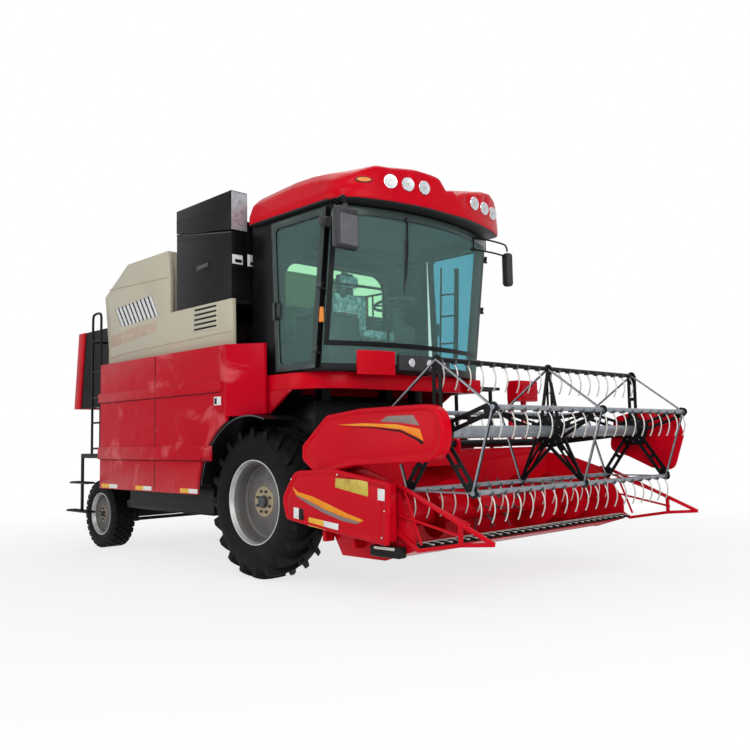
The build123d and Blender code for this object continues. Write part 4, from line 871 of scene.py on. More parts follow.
def addLouvres(side):
    # pale slats in front of the openings, leaning with them
    parts = []
    outer, skin = louvres["outer"], louvres["skin"]
    corners = [Vector((x, 0, z)) for x, z in louvres["slanted"]["corners"]]
    count = louvres["slanted"]["slats"]
    for number in range(count):
        share = (number + 0.5) / count
        top = corners[0].lerp(corners[1], share)
        low = corners[3].lerp(corners[2], share)
        wide = (corners[1] - corners[0]).length / count * 0.30
        ring = roundRing([(top.x - wide, top.z), (top.x + wide, top.z), (low.x + wide, low.z),
            (low.x - wide, low.z)], 0.012, 3)
        y = sorted((side * (outer - 0.012), side * (outer - 0.003)))
        parts.append(addPlate(sideRing(ring), zero.y + y[0], zero.y + y[1], "paleSlat", 0.0015))
    # a black sheet behind the slats: painted shade in the openings between them
    shadeBacking = sorted((side * 1.1752, side * 1.1768))
    parts.append(addPlate(sideRing(louvres["slanted"]["corners"]), zero.y + shadeBacking[0], zero.y + shadeBacking[1],
        "blackPaint"))
    # the level louvre: a cream sheet over its openings, with a black slit on it for each opening, painted
    # shade
    rear, front, low, high = louvres["level"]["slits"]
    count = louvres["level"]["count"]
    sheet = roundRing(boxRing((rear - 0.02, low - 0.006), (front + 0.02, high + 0.004)), 0.012, 3)
    parts.append(addPatch(sheet, side * skin, "creamPaint", 0.003, 0.001))
    for number in range(count):
        z = low + (high - low) * (number + 0.5) / count
        slitShade = roundRing([(rear + 0.004 * number, z - 0.010), (front, z - 0.006), (front, z + 0.012),
            (rear, z + 0.011)], 0.006, 2)
        parts.append(addPatch(slitShade, side * (skin + 0.0025), "blackPaint", 0.0015))
    return parts


creamLines = {
    "band": ((-2.684, 2.205), (-1.70, 2.285), (-1.66, 2.385), (-2.12, 2.375), (-2.66, 2.335)),
    "lowFold": ((-2.705, 2.090), (-2.272, 2.121), (-0.342, 2.146), (-0.342, 2.157), (-2.272, 2.132),
        (-2.704, 2.101)),
    "topFold": ((-2.70, 2.853), (-2.421, 2.842), (-1.42, 2.800), (-1.42, 2.809), (-2.421, 2.851),
        (-2.70, 2.861)),
}


def addCreamLines(side):
    outer = side * louvres["skin"]
    parts = [addPatch(creamLines["band"], outer, "tanBandAndShade", 0.0018)]
    for fold in ("lowFold", "topFold"):
        parts.append(addPatch(creamLines[fold], outer, "creamPaint", 0.006, 0.002))
        # a thin tan line just below each fold: a painted shadow of the fold
        parts.append(addPatch([(x, z - 0.009) for x, z in creamLines[fold]], outer, "tanBandAndShade", 0.0012))
    return parts


dress("upper_panels", "upperPanels", "creamPaint", 0.008, 2,
    [part for side in (-1, 1) for part in (*addLouvres(side), *addCreamLines(side))])


# rows of (place, value): how far the moulding stands over the plain arcs, and its share along the length
roofLook = {
    "voxel": 0.013, "factor": 0.5, "rounds": 26, "corner": 0.20, "cornerShare": (1, 0.3), "top": 3.4497,
    "sockets": (0.300, 0.480, 0.660), "front": 1.192, "bow": 0.235, "half": 1.05, "foot": 3.17, "fade": 0.07,
    "shoulder": ((0.50, 0), (0.66, 0.018), (0.82, 0.053), (0.93, 0.092), (1.0, 0.078), (1.05, 0)),
    "right": ((-0.3, 0.75), (0, 0.95), (0.26, 1.12), (0.5, 1.05), (0.7, 0.8), (0.85, 0.45), (0.97, 0.1),
        (1.1, -0.3)),
    "left": ((-0.3, 0.75), (0, 0.95), (0.26, 1.1), (0.5, 1.0), (0.7, 1.0), (0.9, 1.1), (1.1, 1.2),
        (1.2, 1.0)),
    "brow": ((-0.78, 0), (-0.6, 0.012), (-0.35, 0.052), (-0.1, 0.050), (0.05, -0.005), (0.15, -0.055),
        (0.25, -0.02), (0.45, 0.022), (0.6, 0.035), (0.8, 0.02)),
    "browReach": ((0.85, 0), (1.05, 1)),
}


def along(rows, value):
    # reads a table of (place, value) rows between its places
    for (start, low), (stop, high) in zip(rows, rows[1:]):
        if value <= stop:
            return low + (high - low) * max(0.0, (value - start) / (stop - start))
    return rows[-1][1]


def mouldRoof(roof):
    # rounds the front corners as seen from above, then fills the shoulders and the brow
    big, half = roofLook["corner"], roofLook["half"]
    for vertex in roof.data.vertices:
        spot = vertex.co - zero
        wide = abs(spot.y)
        side = 1 if spot.y > 0 else -1
        high = min(1, max(0, (spot.z - roofLook["foot"]) / roofLook["fade"]))
        high = high * high * (3 - 2 * high)
        rise = high * (along(roofLook["shoulder"], wide) * along(roofLook["left" if side > 0 else "right"],
            spot.x) + along(roofLook["browReach"], spot.x) * along(roofLook["brow"], spot.y))
        edge = roofLook["front"] - roofLook["bow"] * (wide / half) ** 2 - big
        u, w = min(1, (spot.x - edge) / big), min(1, (wide - (half - big)) / big)
        if u > 0 and w > 0:
            share = (0.6 + 0.4 * high) * roofLook["cornerShare"][side > 0]
            spot.x += share * (edge + big * u * math.sqrt(1 - w * w / 2) - spot.x)
            spot.y += side * share * (half - big + big * w * math.sqrt(1 - u * u / 2) - wide)
        spot.z = min(roofLook["top"], spot.z + rise)
        vertex.co = spot + zero


def addRoof():
    # the sockets of the CAD lamps are filled first, as the lamps sit on the moulded front
    roof = softCopy("cab_roof", "redPaint", 0)
    low, high = boxOf("roof_lamps")
    middleZ = (low.z + high.z) / 2
    plugs = []
    for side in (-1, 1):
        for y in roofLook["sockets"]:
            face = zero.x + roofLook["front"] - 0.007 - roofLook["bow"] * (y / roofLook["half"]) ** 2
            plugs.append(addRod((low.x - 0.02, side * y + zero.y, middleZ),
                (face, side * y + zero.y, middleZ), 0.060, "redPaint", 24))
    roof = joinAll([roof, *plugs])
    applyModifier(roof, "REMESH", mode="VOXEL", voxel_size=roofLook["voxel"], adaptivity=0)
    applyModifier(roof, "SMOOTH", factor=roofLook["factor"], iterations=roofLook["rounds"])
    mouldRoof(roof)
    applyModifier(roof, "SMOOTH", factor=roofLook["factor"], iterations=4)
    roof = settle(roof, "redPaint", 60)
    underside = boxOf("cab_roof")[0].z + 0.05
    return paintWhere(roof, "blackPlastic", lambda spot, way: way.z < -0.6 and spot.z < underside)


marker = {"place": (1.9, -0.905, 3.258), "way": (-1, 0.06, 0),
    "ovals": (("blackPlastic", 0.070, 0.026, 0.006), ("amberLens", 0.060, 0.018, 0.011))}


def addMarker(roof):
    # an oval amber lamp that lies on the roof's front, beside the lamps
    spot, normal = roof.ray_cast(at(*marker["place"]), Vector(marker["way"]))[1:3]
    turn = Matrix.Translation(spot) @ normal.to_track_quat("Z", "Y").to_matrix().to_4x4()
    parts = []
    for finish, wide, tall, proud in marker["ovals"]:
        startPiece()
        bpy.ops.mesh.primitive_cylinder_add(vertices=40, radius=1, depth=1, location=(0, 0, 0),
            scale=(wide, tall, proud * 2))
        oval = roundEdges(settle(bpy.context.object, finish), 0.003, 2)
        oval.data.transform(turn)
        parts.append(settle(oval, finish))
    return parts


roof = addRoof()
standIn("cab_roof", "cabRoof", [roof, *addMarker(roof)])


covers = {
    "lower": {"ring": ((0.530, 0.710), (0.690, 0.925), (1.150, 0.945), (1.722, 0.860), (1.695, 0.425),
        (1.090, 0.484), (0.585, 0.545)), "radii": (0.11, 0.13, 0.20, 0.02, 0.02, 0.30, 0.06),
        "y": (-1.325, -1.295)},
    "upper": {"ring": ((0.740, 1.120), (1.030, 1.345), (1.400, 1.382), (2.190, 1.390), (2.190, 1.010),
        (1.314, 0.967), (0.920, 0.885), (0.740, 1.010)), "radii": (0.05, 0.09, 0.20, 0.185, 0.185, 0.30, 0.10,
        0.06), "y": (-1.285, -1.190)},
    "bolts": ((1.683, 0.666), (1.655, 0.482), (1.20, 0.905), (0.66, 0.86)),
}


def drawnIn(points, amount):
    # a flat outline with every side moved in by a distance, its corners kept where the sides meet
    spots = [Vector(point) for point in points]
    area = sum(a.x * b.y - b.x * a.y for a, b in zip(spots, spots[1:] + spots[:1]))
    turn = amount if area > 0 else -amount
    drawn = []
    for before, here, after in zip(spots[-1:] + spots[:-1], spots, spots[1:] + spots[:1]):
        inWay, outWay = (here - before).normalized(), (after - here).normalized()
        inSide, outSide = Vector((-inWay.y, inWay.x)) * turn, Vector((-outWay.y, outWay.x)) * turn
        both = (inSide + outSide) / 2
        drawn.append(here + both * (turn ** 2 / both.length_squared))
    return [tuple(spot) for spot in drawn]


coverRows = ((0, 0.014), (0.004, 0.005), (0.012, 0.001), (0.022, 0), (0.030, 0.002), (0.037, 0.008),
    (0.046, 0.010), (0.058, 0.008), (0.072, 0.0045), (0.085, 0.003))


def addCover(look, finish):
    # a pressed sheet-metal cover: side wall, rolled edge and a face that steps in and then stands proud
    back, face = look["y"][1], look["y"][0]
    rings = [(0, back)] + [(inset, face + deep) for inset, deep in coverRows]
    spots, faces = [], []
    for inset, y in rings:
        radii = [max(radius - inset, 0.012) for radius in look["radii"]]
        ring = roundRing(drawnIn(look["ring"], inset) if inset else look["ring"], radii, 7)
        spots += [tuple(at(x, y, z)) for x, z in ring]
    count = len(ring)
    for row in range(len(rings) - 1):
        for number in range(count):
            here, after = row * count + number, row * count + (number + 1) % count
            faces.append((here, after, after + count, here + count))
    faces.append(tuple(range(len(spots) - count, len(spots))))
    faces.append(tuple(range(count))[::-1])
    return settle(closeUp(newMesh("cover", spots, faces)), finish, 40)


coverArt = (
    ("lower", "goldStripe", ((0.67, 0.802), (0.741, 0.762), (0.909, 0.736), (1.122, 0.678), (1.30, 0.628),
        (1.471, 0.590), (1.434, 0.575), (1.249, 0.603), (1.042, 0.650), (0.853, 0.706), (0.712, 0.742))),
    ("lower", "ashStripe", ((0.712, 0.740), (0.853, 0.704), (1.042, 0.648), (1.249, 0.601), (1.434, 0.573),
        (1.40, 0.559), (1.249, 0.572), (1.042, 0.618), (0.853, 0.680), (0.735, 0.724))),
    ("lower", "strawLabel", ((1.178, 0.881), (1.52, 0.869), (1.518, 0.758), (1.172, 0.813))),
    ("lower", "whiteStrip", ((1.618, 0.819), (1.686, 0.813), (1.684, 0.733), (1.616, 0.738))),
    ("lower", "whiteStrip", ((0.682, 0.646), (0.745, 0.641), (0.743, 0.554), (0.681, 0.562))),
    ("lower", "blackPaint", ((0.747, 0.641), (0.802, 0.637), (0.80, 0.549), (0.745, 0.554))),
    ("lower", "yellowStrip", ((0.865, 0.579), (1.036, 0.563), (1.035, 0.499), (0.858, 0.514))),
    ("lower", "whiteStrip", ((1.038, 0.563), (1.203, 0.548), (1.196, 0.485), (1.037, 0.499))),
    ("upper", "goldStripe", ((1.162, 1.271), (1.444, 1.275), (1.771, 1.26), (1.989, 1.223), (2.022, 1.142),
        (1.966, 1.169), (1.815, 1.224), (1.54, 1.251), (1.30, 1.262))),
    ("upper", "ashStripe", ((1.682, 1.319), (1.931, 1.319), (1.989, 1.246), (1.816, 1.269), (1.611, 1.283))),
    ("upper", "blackPaint", ((1.192, 1.257), (1.54, 1.246), (1.815, 1.218), (1.966, 1.162), (2.022, 1.137),
        (2.010, 1.117), (1.955, 1.150), (1.815, 1.205), (1.54, 1.238))),
)


def addCoverArt(which):
    face = covers[which]["y"][0] + coverRows[-1][1]
    return [addPatch(ring, face + 0.0008, finish, 0.0018) for cover, finish,
        ring in coverArt if cover == which]


def addCoverBolts():
    parts = []
    face = covers["lower"]["y"][0]
    for x, z in covers["bolts"]:
        parts += addRods(((x, face + 0.012, z), (x, face + 0.0015, z), 0.013, "redPaint", 24, 0.003),
            ((x, face + 0.004, z), (x, face - 0.004, z), 0.0075, "chromeRod", 6, 0.001))
    return parts


lowerCover = [addCover(covers["lower"], "redPaint"), *addCoverArt("lower"), *addCoverBolts()]
startPiece()
# the CAD node also holds the left cover and the drive between cover and table
twin = softCopy("header_covers", "redPaint", 0.003, 2)
editAll()
bpy.ops.mesh.bisect(plane_co=at(0, -1.2945, 0), plane_no=(0, -1, 0), clear_outer=True)
bpy.ops.mesh.select_all(action="SELECT")
bpy.ops.mesh.fill_holes(sides=0)
bpy.ops.object.mode_set(mode="OBJECT")
standIn("header_covers", "headerCovers", [*lowerCover, settle(closeUp(twin), "redPaint")])
standIn("reel_cover", "reelCover", [addCover(covers["upper"], "redPaint"), *addCoverArt("upper")])

# the sheet guard outside the left reel arm
farGuard = {"ring": ((1.700, 1.020), (1.760, 1.330), (2.080, 1.395), (2.380, 1.350), (2.430, 1.150),
    (2.330, 0.840), (2.120, 0.860), (1.900, 0.960)), "radius": 0.09, "y": (1.6725, 1.6975)}
guardRing = roundRing(farGuard["ring"], farGuard["radius"])
innerRing = roundRing(drawnIn(farGuard["ring"], 0.030), farGuard["radius"] - 0.03)
guardLow, guardHigh = farGuard["y"]
finishPiece("reelGuard", "reel_frame",
    [addPlate(sideRing(guardRing), zero.y + guardLow, zero.y + guardHigh - 0.006, "redPaint", 0.004),
    addPlate(sideRing(innerRing), zero.y + guardHigh - 0.008, zero.y + guardHigh, "redPaint", 0.003)])
print("stage: panels, roof and covers")

# CAD nodes that keep their shape: node, new name, finish, edge width
plainPieces = (
    ("chassis_frame", "chassisFrame", "blackPaint", 0.004),
        ("side_frames", "sideFrames", "blackPaint", 0.004),
    ("drive_axle", "driveAxle", "blackPaint", 0.003), ("rear_axle", "rearAxle", "blackPaint", 0.004),
    ("knuckle_right", "knuckleRight", "blackPaint", 0.003),
        ("knuckle_left", "knuckleLeft", "blackPaint", 0.003),
    ("tie_rod", "tieRod", "blackPaint", 0.002), ("threshing_housing", "threshingHousing", "blackPaint",
        0.006),
    ("grain_tank", "grainTank", "creamPaint", 0.006), ("engine_deck", "engineDeck", "blackPaint", 0.004),
    ("engine_block", "engineBlock", "ironCast", 0.020),
        ("exhaust_stack", "exhaustStack", "blackPaint", 0.002),
    ("cab_platform", "cabPlatform", "redPaint", 0.010), ("entry_steps", "entrySteps", "blackPaint", 0.003),
    ("spout_base", "spoutBase", "redPaint", 0.003),
    ("unloading_tube", "unloadingTube", "redPaint", 0.003),
        ("feeder_house", "feederHouse", "redPaint", 0.006),
    ("header_table", "headerTable", "redPaint", 0.004), ("crop_dividers", "cropDividers", "redPaint", 0.004),
    ("reel_arms", "reelArms", "blackPaint", 0.004), ("lift_barrels", "liftBarrels", "blackPaint", 0.002),
    ("lift_rods", "liftRods", "chromeRod", 0.001),
)


deck = {"z": 2.440, "slats": 8, "can": (-1.12, 0.78), "rail": 1.12}


def addDeckTrims():
    # the engine deck: a louvred hatch, an air cleaner with its pipe, and a handrail along the left edge
    top, y = deck["z"], deck["rail"]
    hatch = addBlocks(((-1.36, -0.60, top - 0.002), (-0.84, 0.10, top + 0.022), "blackPaint", 0.008, 3))
    for number in range(deck["slats"]):
        start = -0.54 + number * 0.08
        hatch += addBlocks(((-1.31, start, top + 0.018), (-0.89, start + 0.045, top + 0.036), "blackGloss",
            0.008, 2))
    for middle in (-0.60, 0.02):
        grip = [(x, middle - 0.03, top + rise) for x, rise in ((-1.10, 0.02), (-1.10, 0.05), (-1.00, 0.05),
            (-1.00, 0.02))]
        hatch.append(tubeAt(grip, 0.006, "chromeRod", 5, 4))
    profile = [(0.0, 0.004), (0, 0.095), (0.010, 0.105), (0.200, 0.105), (0.210, 0.112), (0.235, 0.112),
        (0.245, 0.104), (0.330, 0.100), (0.345, 0.088), (0.350, 0.004)]
    can = addTurned(profile, (0, 0, 0), "blackPlastic", 40)
    hatch.append(putAt(can, Matrix.Translation(at(*deck["can"], top - 0.002)) @ turnBy(90, "X")))
    pipe = [(-1.12, 0.70, top + 0.28), (-1.12, 0.60, top + 0.29), (-1.08, 0.42, top + 0.22),
        (-1.02, 0.30, top + 0.05), (-1.00, 0.28, top - 0.01)]
    hatch.append(tubeAt(pipe, 0.034, "blackPlastic", 8, 8))
    run = ((-1.40, 0), (-1.40, 0.30), (-1.38, 0.345), (-1.30, 0.36), (-0.52, 0.36), (-0.44, 0.345),
        (-0.42, 0.30), (-0.42, 0))
    hatch.append(tubeAt([(x, y, top + rise) for x, rise in run], 0.013, "blackPaint", 8, 6))
    return hatch + addRods(((-0.91, y, top), (-0.91, y, top + 0.36), 0.011, "blackPaint", 16))


def addTrims():
    # small things that belong to the plain pieces
    trims = {"cab_platform": addBlocks(((0.46, 0.86, 1.592), (0.684, 1.042, 1.724), "redPaint", 0.010, 3)),
        "side_frames": [addSideBlock(side, 1.092, 1.108, (-2.36, 0.50), (-0.76, 0.735), "blackPaint", 0.004)
        for side in (-1, 1)]}
    # pressed ribs along the trough's back, a two-colour strip, and the gearbox on its bracket
    back = boxOf("header_table")[0].x - zero.x + 0.022
    ribs = [((back - 0.004, -1.15, z - 0.014), (back + 0.010, 1.63, z + 0.014), "redPaint", 0.006, 3)
        for z in (1.005, 1.085)]
    strips = [((back - 0.002, start, 0.742), (back + 0.004, stop, 0.806), finish, 0.0015, 1)
        for start, stop, finish in ((0.36, 0.60, "whiteStrip"), (0.60, 0.86, "yellowStrip"))]
    table = addBlocks(
        *ribs, *strips,
        ((0.965, 1.075, 1.500), (1.105, 1.400, 1.700), "redPaint", 0.014, 3),
        ((1.100, 1.120, 1.530), (1.118, 1.355, 1.670), "redPanel", 0.006, 2),
        ((0.955, 1.10, 1.10), (0.985, 1.16, 1.52), "redPaint", 0.005, 2),
        ((0.955, 1.31, 1.10), (0.985, 1.37, 1.52), "redPaint", 0.005, 2))
    table += addRods(((1.035, 1.395, 1.60), (1.035, 1.440, 1.60), 0.045, "ironCast", 28, 0.004))
    # the knife drive below the right cover, and the brackets behind it
    trims["header_table"] = table + addBlocks(
        ((1.470, -1.270, 0.338), (1.760, -1.188, 0.416), "blackPaint", 0.012, 3),
        ((1.520, -1.276, 0.392), (1.720, -1.262, 0.412), "paleTine", 0.004, 2),
        ((0.960, -1.270, 0.400), (1.000, -1.180, 0.520), "redPaint", 0.006, 2),
        ((1.280, -1.270, 0.372), (1.320, -1.180, 0.500), "redPaint", 0.006, 2))
    # the second, inner bars of each divider
    bars = []
    for y, way in ((-1.197, 1), (1.682, -1)):
        for start, end, lag in (((1.700, 0.628), (2.270, 0.520), 0), ((1.610, 0.835), (2.300, 0.598), 0.030),
                ((1.760, 0.795), (1.905, 0.440), 0)):
            inner = y + way * lag
            spots = (start[0], inner, start[1]), (end[0], inner, end[1])
            bars += addRods((*spots, 0.0095, "redPaint", 14, 0.002))
    trims["crop_dividers"] = bars
    trims["engine_deck"] = addDeckTrims()
    # two braces across the tank's opening, and two bands round the exhaust
    trims["grain_tank"] = addRods(*(((x, -1.13, 2.93), (x, 1.13, 2.93), 0.018, "creamPaint", 20)
        for x in (-1.85, -2.15)))
    bands = []
    for z in (2.56, 2.80):
        band = addTurned([(0, 0.004), (0, 0.099), (0.018, 0.099), (0.018, 0.004)], (0, 0, 0), "ironCast", 36)
        bands.append(putAt(band, Matrix.Translation(at(-0.70, 0.50, z)) @ turnBy(90, "X")))
    trims["exhaust_stack"] = bands
    return trims


posts = {"x": 0.2, "y": 0.6, "reach": 0.07}
trims = addTrims()
for node, name, finish, width in plainPieces:
    piece = dress(node, name, finish, width, 2 if width > 0.003 else 1, trims.get(node, ()))
    if node == "cab_platform":  # its posts and its underside are black
        paintWhere(piece, "blackPaint", lambda spot, way: way.z < -0.7
            or (abs(abs(spot.x) - posts["x"]) < posts["reach"]
            and abs(abs(spot.y) - posts["y"]) < posts["reach"]))


# the hood: a red back with a black recess at each side
recessFace = (1.08, 1.095)
hood = softCopy("rear_hood", "redPaint", 0.004, 2)
paintWhere(hood, "blackPaint", lambda spot, way: abs(way.y) > 0.9
    and recessFace[0] < abs(spot.y) < recessFace[1])
rearLamps = {"y": 0.90, "z": 1.78, "wide": 0.075, "tall": 0.040,
    "lenses": ((-0.9, -0.05, "amberLens"), (0.05, 0.9, "redSheen"))}


def addRearLamps(hood):
    # on each side of the back, an amber and a red lamp in a black holder
    parts = []
    wide, tall = rearLamps["wide"], rearLamps["tall"]
    for side in (-1, 1):
        place = hood.ray_cast(at(-4.5, side * rearLamps["y"], rearLamps["z"]), Vector((1, 0, 0)))[1]
        parts.append(addBlock(place + Vector((-0.006, -wide, -tall)), place + Vector((0.020, wide, tall)),
            "blackPlastic", 0.006, 3))
        for low, high, finish in rearLamps["lenses"]:
            parts.append(addBlock(place + Vector((-0.012, low * wide, -tall * 0.75)),
                place + Vector((0.0, high * wide, tall * 0.75)), finish, 0.004, 3))
    return parts


standIn("rear_hood", "rearHood", [hood, *addRearLamps(hood)])


reel = {"middle": (2.0, 1.2), "tube": 0.045, "ring": 0.5, "bars": 5, "bar": 0.0175, "tines": 19,
    "reach": 0.205, "bow": 0.026, "wire": 0.0054, "spiders": (-1.108, 0.240, 1.588), "plate": 0.029,
    "bolts": 10, "margin": 0.054}


def addTine(look):
    # one tine: a clamp round the bar and a thin bowed wire below it
    reach, bow = look["reach"], look["bow"]
    wire = addTube([(0, 0, -0.004), (0.004, 0, -0.03), (bow, 0, -reach * 0.30),
        (bow * 1.25, 0, -reach * 0.62), (bow * 0.55, 0, -reach * 0.90), (0.002, 0, -reach)], look["wire"],
        "paleTine", 3, 3)
    clamp = addBlock((-look["bar"] - 0.0035, -0.010, -look["bar"] - 0.008),
        (look["bar"] + 0.0035, 0.010, 0.002), "ironCast", 0.002, 1)
    return joinAll([wire, clamp])


def addReel():
    spiders = softCopy("reel_spiders", "blackGloss", 0.0015, 1)
    centreX, centreZ = reel["middle"]
    paintWhere(spiders, "reelGrey", lambda spot, way: abs(way.y) < 0.5
        and math.hypot(spot.x - centreX, spot.z - centreZ) < reel["tube"] + 0.003)
    near, middle, far = reel["spiders"]
    parts = [spiders]
    for number in range(reel["bars"]):
        turns = [2 * math.pi * (number + step) / reel["bars"] for step in range(2)]
        start, end = [(centreX + reel["ring"] * math.sin(turn), centreZ + reel["ring"] * math.cos(turn))
            for turn in turns]
        for y in (near - 0.012, middle - 0.012, far - 0.012):
            parts += addRods(((start[0], y, start[1]), (end[0], y, end[1]), 0.0065, "reelGrey", 10))
        # the middle spider's plates, each with a slot
        way = Vector((math.sin(turns[0]), math.cos(turns[0])))
        across = Vector((way.y, -way.x)) * reel["plate"]
        hub = Vector((centreX, centreZ))
        ring = [hub + way * 0.09 - across, hub + way * 0.09 + across, hub + way * 0.47 + across * 0.9,
            hub + way * 0.47 - across * 0.9]
        slot = [hub + way * 0.19 - across * 0.3, hub + way * 0.19 + across * 0.3,
            hub + way * 0.40 + across * 0.25, hub + way * 0.40 - across * 0.25]
        parts.append(addPlate(sideRing(ring), zero.y + middle + 0.0065, zero.y + middle + 0.0125,
            "blackGloss", 0.001, (sideRing(slot[::-1]),)))
    for y in (near, middle, far):
        parts.append(addTurned([(-0.0135, 0.05), (-0.0135, 0.125), (-0.011, 0.13), (0.011, 0.13),
            (0.0135, 0.125), (0.0135, 0.05)], at(centreX, y, centreZ), "blackGloss", 40, closed=True))
        for number in range(reel["bolts"]):
            turn = math.radians(360 * (number + 0.5) / reel["bolts"])
            x, z = centreX + 0.10 * math.cos(turn), centreZ + 0.10 * math.sin(turn)
            parts += addRods(((x, y - 0.020, z), (x, y - 0.012, z), 0.008, "ironCast", 6))
    standIn("reel_spiders", "reelSpiders", parts)
    tine = addTine(reel)
    for number in range(reel["bars"]):
        node = f"tine_bar_{number + 1}"
        low, high = boxOf(node)
        turn = 2 * math.pi * number / reel["bars"]
        x = zero.x + centreX + reel["ring"] * math.sin(turn)
        z = centreZ + reel["ring"] * math.cos(turn)
        # the top bar is black and the others grey: the bars are alike, and the top bar's black is painted
        # shade
        finish = "blackGloss" if number == 0 else "reelGrey"
        first, last = low.y + reel["margin"], high.y - reel["margin"]
        parts = [addRod((x, low.y, z), (x, high.y, z), reel["bar"], finish, 24, 0.002)]
        for step in range(reel["tines"]):
            y = first + (last - first) * step / (reel["tines"] - 1)
            parts.append(copyOf(tine, Matrix.Translation((x, y, z))))
        standIn(node, f"tineBar{number + 1}", parts)
    bpy.data.objects.remove(tine)


addReel()


auger = {"x": 1.35, "z": 0.6, "drum": 0.110, "outer": 0.225, "pitch": 0.480, "bare": 0.330, "wall": 0.006,
    "fingers": 10, "steps": 32, "ends": 0.145, "fingerTurn": 137}


def addAuger():
    low, high = boxOf("header_auger")
    middle = Vector((zero.x + auger["x"], (low.y + high.y) / 2, auger["z"]))
    half = (high.y - low.y) / 2
    drum = [(-half, 0.024), (-half + 0.02, 0.025), (-half + 0.0265, 0.025),
        (-half + 0.0265, auger["drum"] - 0.006), (-half + 0.032, auger["drum"])]
    profile = [(-half, 0.002)] + drum
    profile += [(-y, radius) for y, radius in profile[::-1]]
    parts = [addTurned(profile, middle, "redPaint", 48)]
    steps, run = auger["steps"], half - auger["ends"] - auger["bare"]
    for side in (-1, 1):
        count = round(steps * run / auger["pitch"])
        spots, faces = [], []
        for step in range(count + 1):
            turn = 2 * math.pi * step / steps
            y = side * (auger["bare"] + auger["pitch"] * step / steps)
            for radius in (auger["drum"] - 0.004, (auger["drum"] + auger["outer"]) / 2, auger["outer"]):
                spots.append((radius * math.cos(turn), y, radius * math.sin(turn)))
        for here in (step * 3 + ring for step in range(count) for ring in range(2)):
            faces.append((here, here + 1, here + 4, here + 3))
        flight = newMesh("flight", spots, faces)
        flight.location = middle
        flight = settle(closeUp(settle(flight)), "redPaint", 50)
        applyModifier(flight, "SOLIDIFY", thickness=auger["wall"], offset=0)
        parts.append(settle(closeUp(flight), "redPaint", 50))
    for number in range(auger["fingers"]):
        y = (number / (auger["fingers"] - 1) - 0.5) * 2 * (auger["bare"] - 0.05)
        for turn in (auger["fingerTurn"] * number, auger["fingerTurn"] * number + 180):
            way = turnBy(turn) @ Vector((1, 0, 0))
            spot = middle + Vector((0, y, 0))
            parts.append(addRod(spot + way * (auger["drum"] - 0.01), spot + way * auger["outer"], 0.007,
                "ironCast", 10, 0.002))
            parts.append(addRod(spot + way * (auger["drum"] - 0.008), spot + way * (auger["drum"] + 0.006),
                0.020, "ironCast", 16, 0.002))
    standIn("header_auger", "headerAuger", parts)


addAuger()


cutter = {"x": 1.80, "z": 0.41, "pitch": 0.0950, "wide": 0.040, "tall": 0.034}


def addCutter():
    low, high = boxOf("cutter_bar")
    x, z = zero.x + cutter["x"], cutter["z"]
    beam = addBlock((x - 0.010, low.y, z - 0.010), (x + 0.030, high.y, z + 0.024), "blackPaint", 0.003, 2)
    hold = addBlock((x - 0.004, low.y + 0.01, z + 0.020), (x + 0.022, high.y - 0.01, z + 0.029), "ironCast",
        0.002, 1)
    # a guard: a block drawn out to a blunt point, with a lip above
    startPiece()
    bpy.ops.mesh.primitive_cube_add(size=1, location=(0.02, 0, 0),
        scale=(0.04, cutter["wide"], cutter["tall"]))
    guard = settle(bpy.context.object)
    bpy.ops.object.mode_set(mode="EDIT")
    for reach, wide, tall in ((0.045, 0.62, 0.75), (0.035, 0.42, 0.6)):
        bpy.ops.mesh.select_all(action="DESELECT")
        bpy.ops.object.mode_set(mode="OBJECT")
        front = max(face.center.x for face in guard.data.polygons)
        for face in guard.data.polygons:
            face.select = face.center.x > front - 0.001
        bpy.ops.object.mode_set(mode="EDIT")
        bpy.ops.mesh.extrude_region_move(TRANSFORM_OT_translate={"value": (reach, 0, 0)})
        bpy.ops.transform.resize(value=(1, wide, tall))
    bpy.ops.object.mode_set(mode="OBJECT")
    roundEdges(guard, 0.002, 1)
    guard = settle(guard, "blackPaint")
    tip = addBlock((0.050, -0.010, 0.006), (0.113, 0.010, 0.016), "paleTine", 0.003, 1)
    knife = addPlate([(0.0, -0.042), (0.06, -0.006), (0.06, 0.006), (0.0, 0.042)], 0.0175, 0.0215, "paleTine",
        axis="Z")
    guard = joinAll([guard, tip, knife])
    count = int((high.y - low.y - 0.06) // cutter["pitch"]) + 1
    parts = [beam, hold]
    for number in range(count):
        y = (low.y + high.y) / 2 + (number - (count - 1) / 2) * cutter["pitch"]
        parts.append(copyOf(guard, Matrix.Translation((x + 0.008, y, z + 0.012))))
    bpy.data.objects.remove(guard)
    standIn("cutter_bar", "cutterBar", parts)


addCutter()
print("stage: header and reel")


roofLamps = {"places": (-0.620, -0.455, -0.285, 0.400, 0.595, 0.790), "z": 3.272, "radius": 0.060}


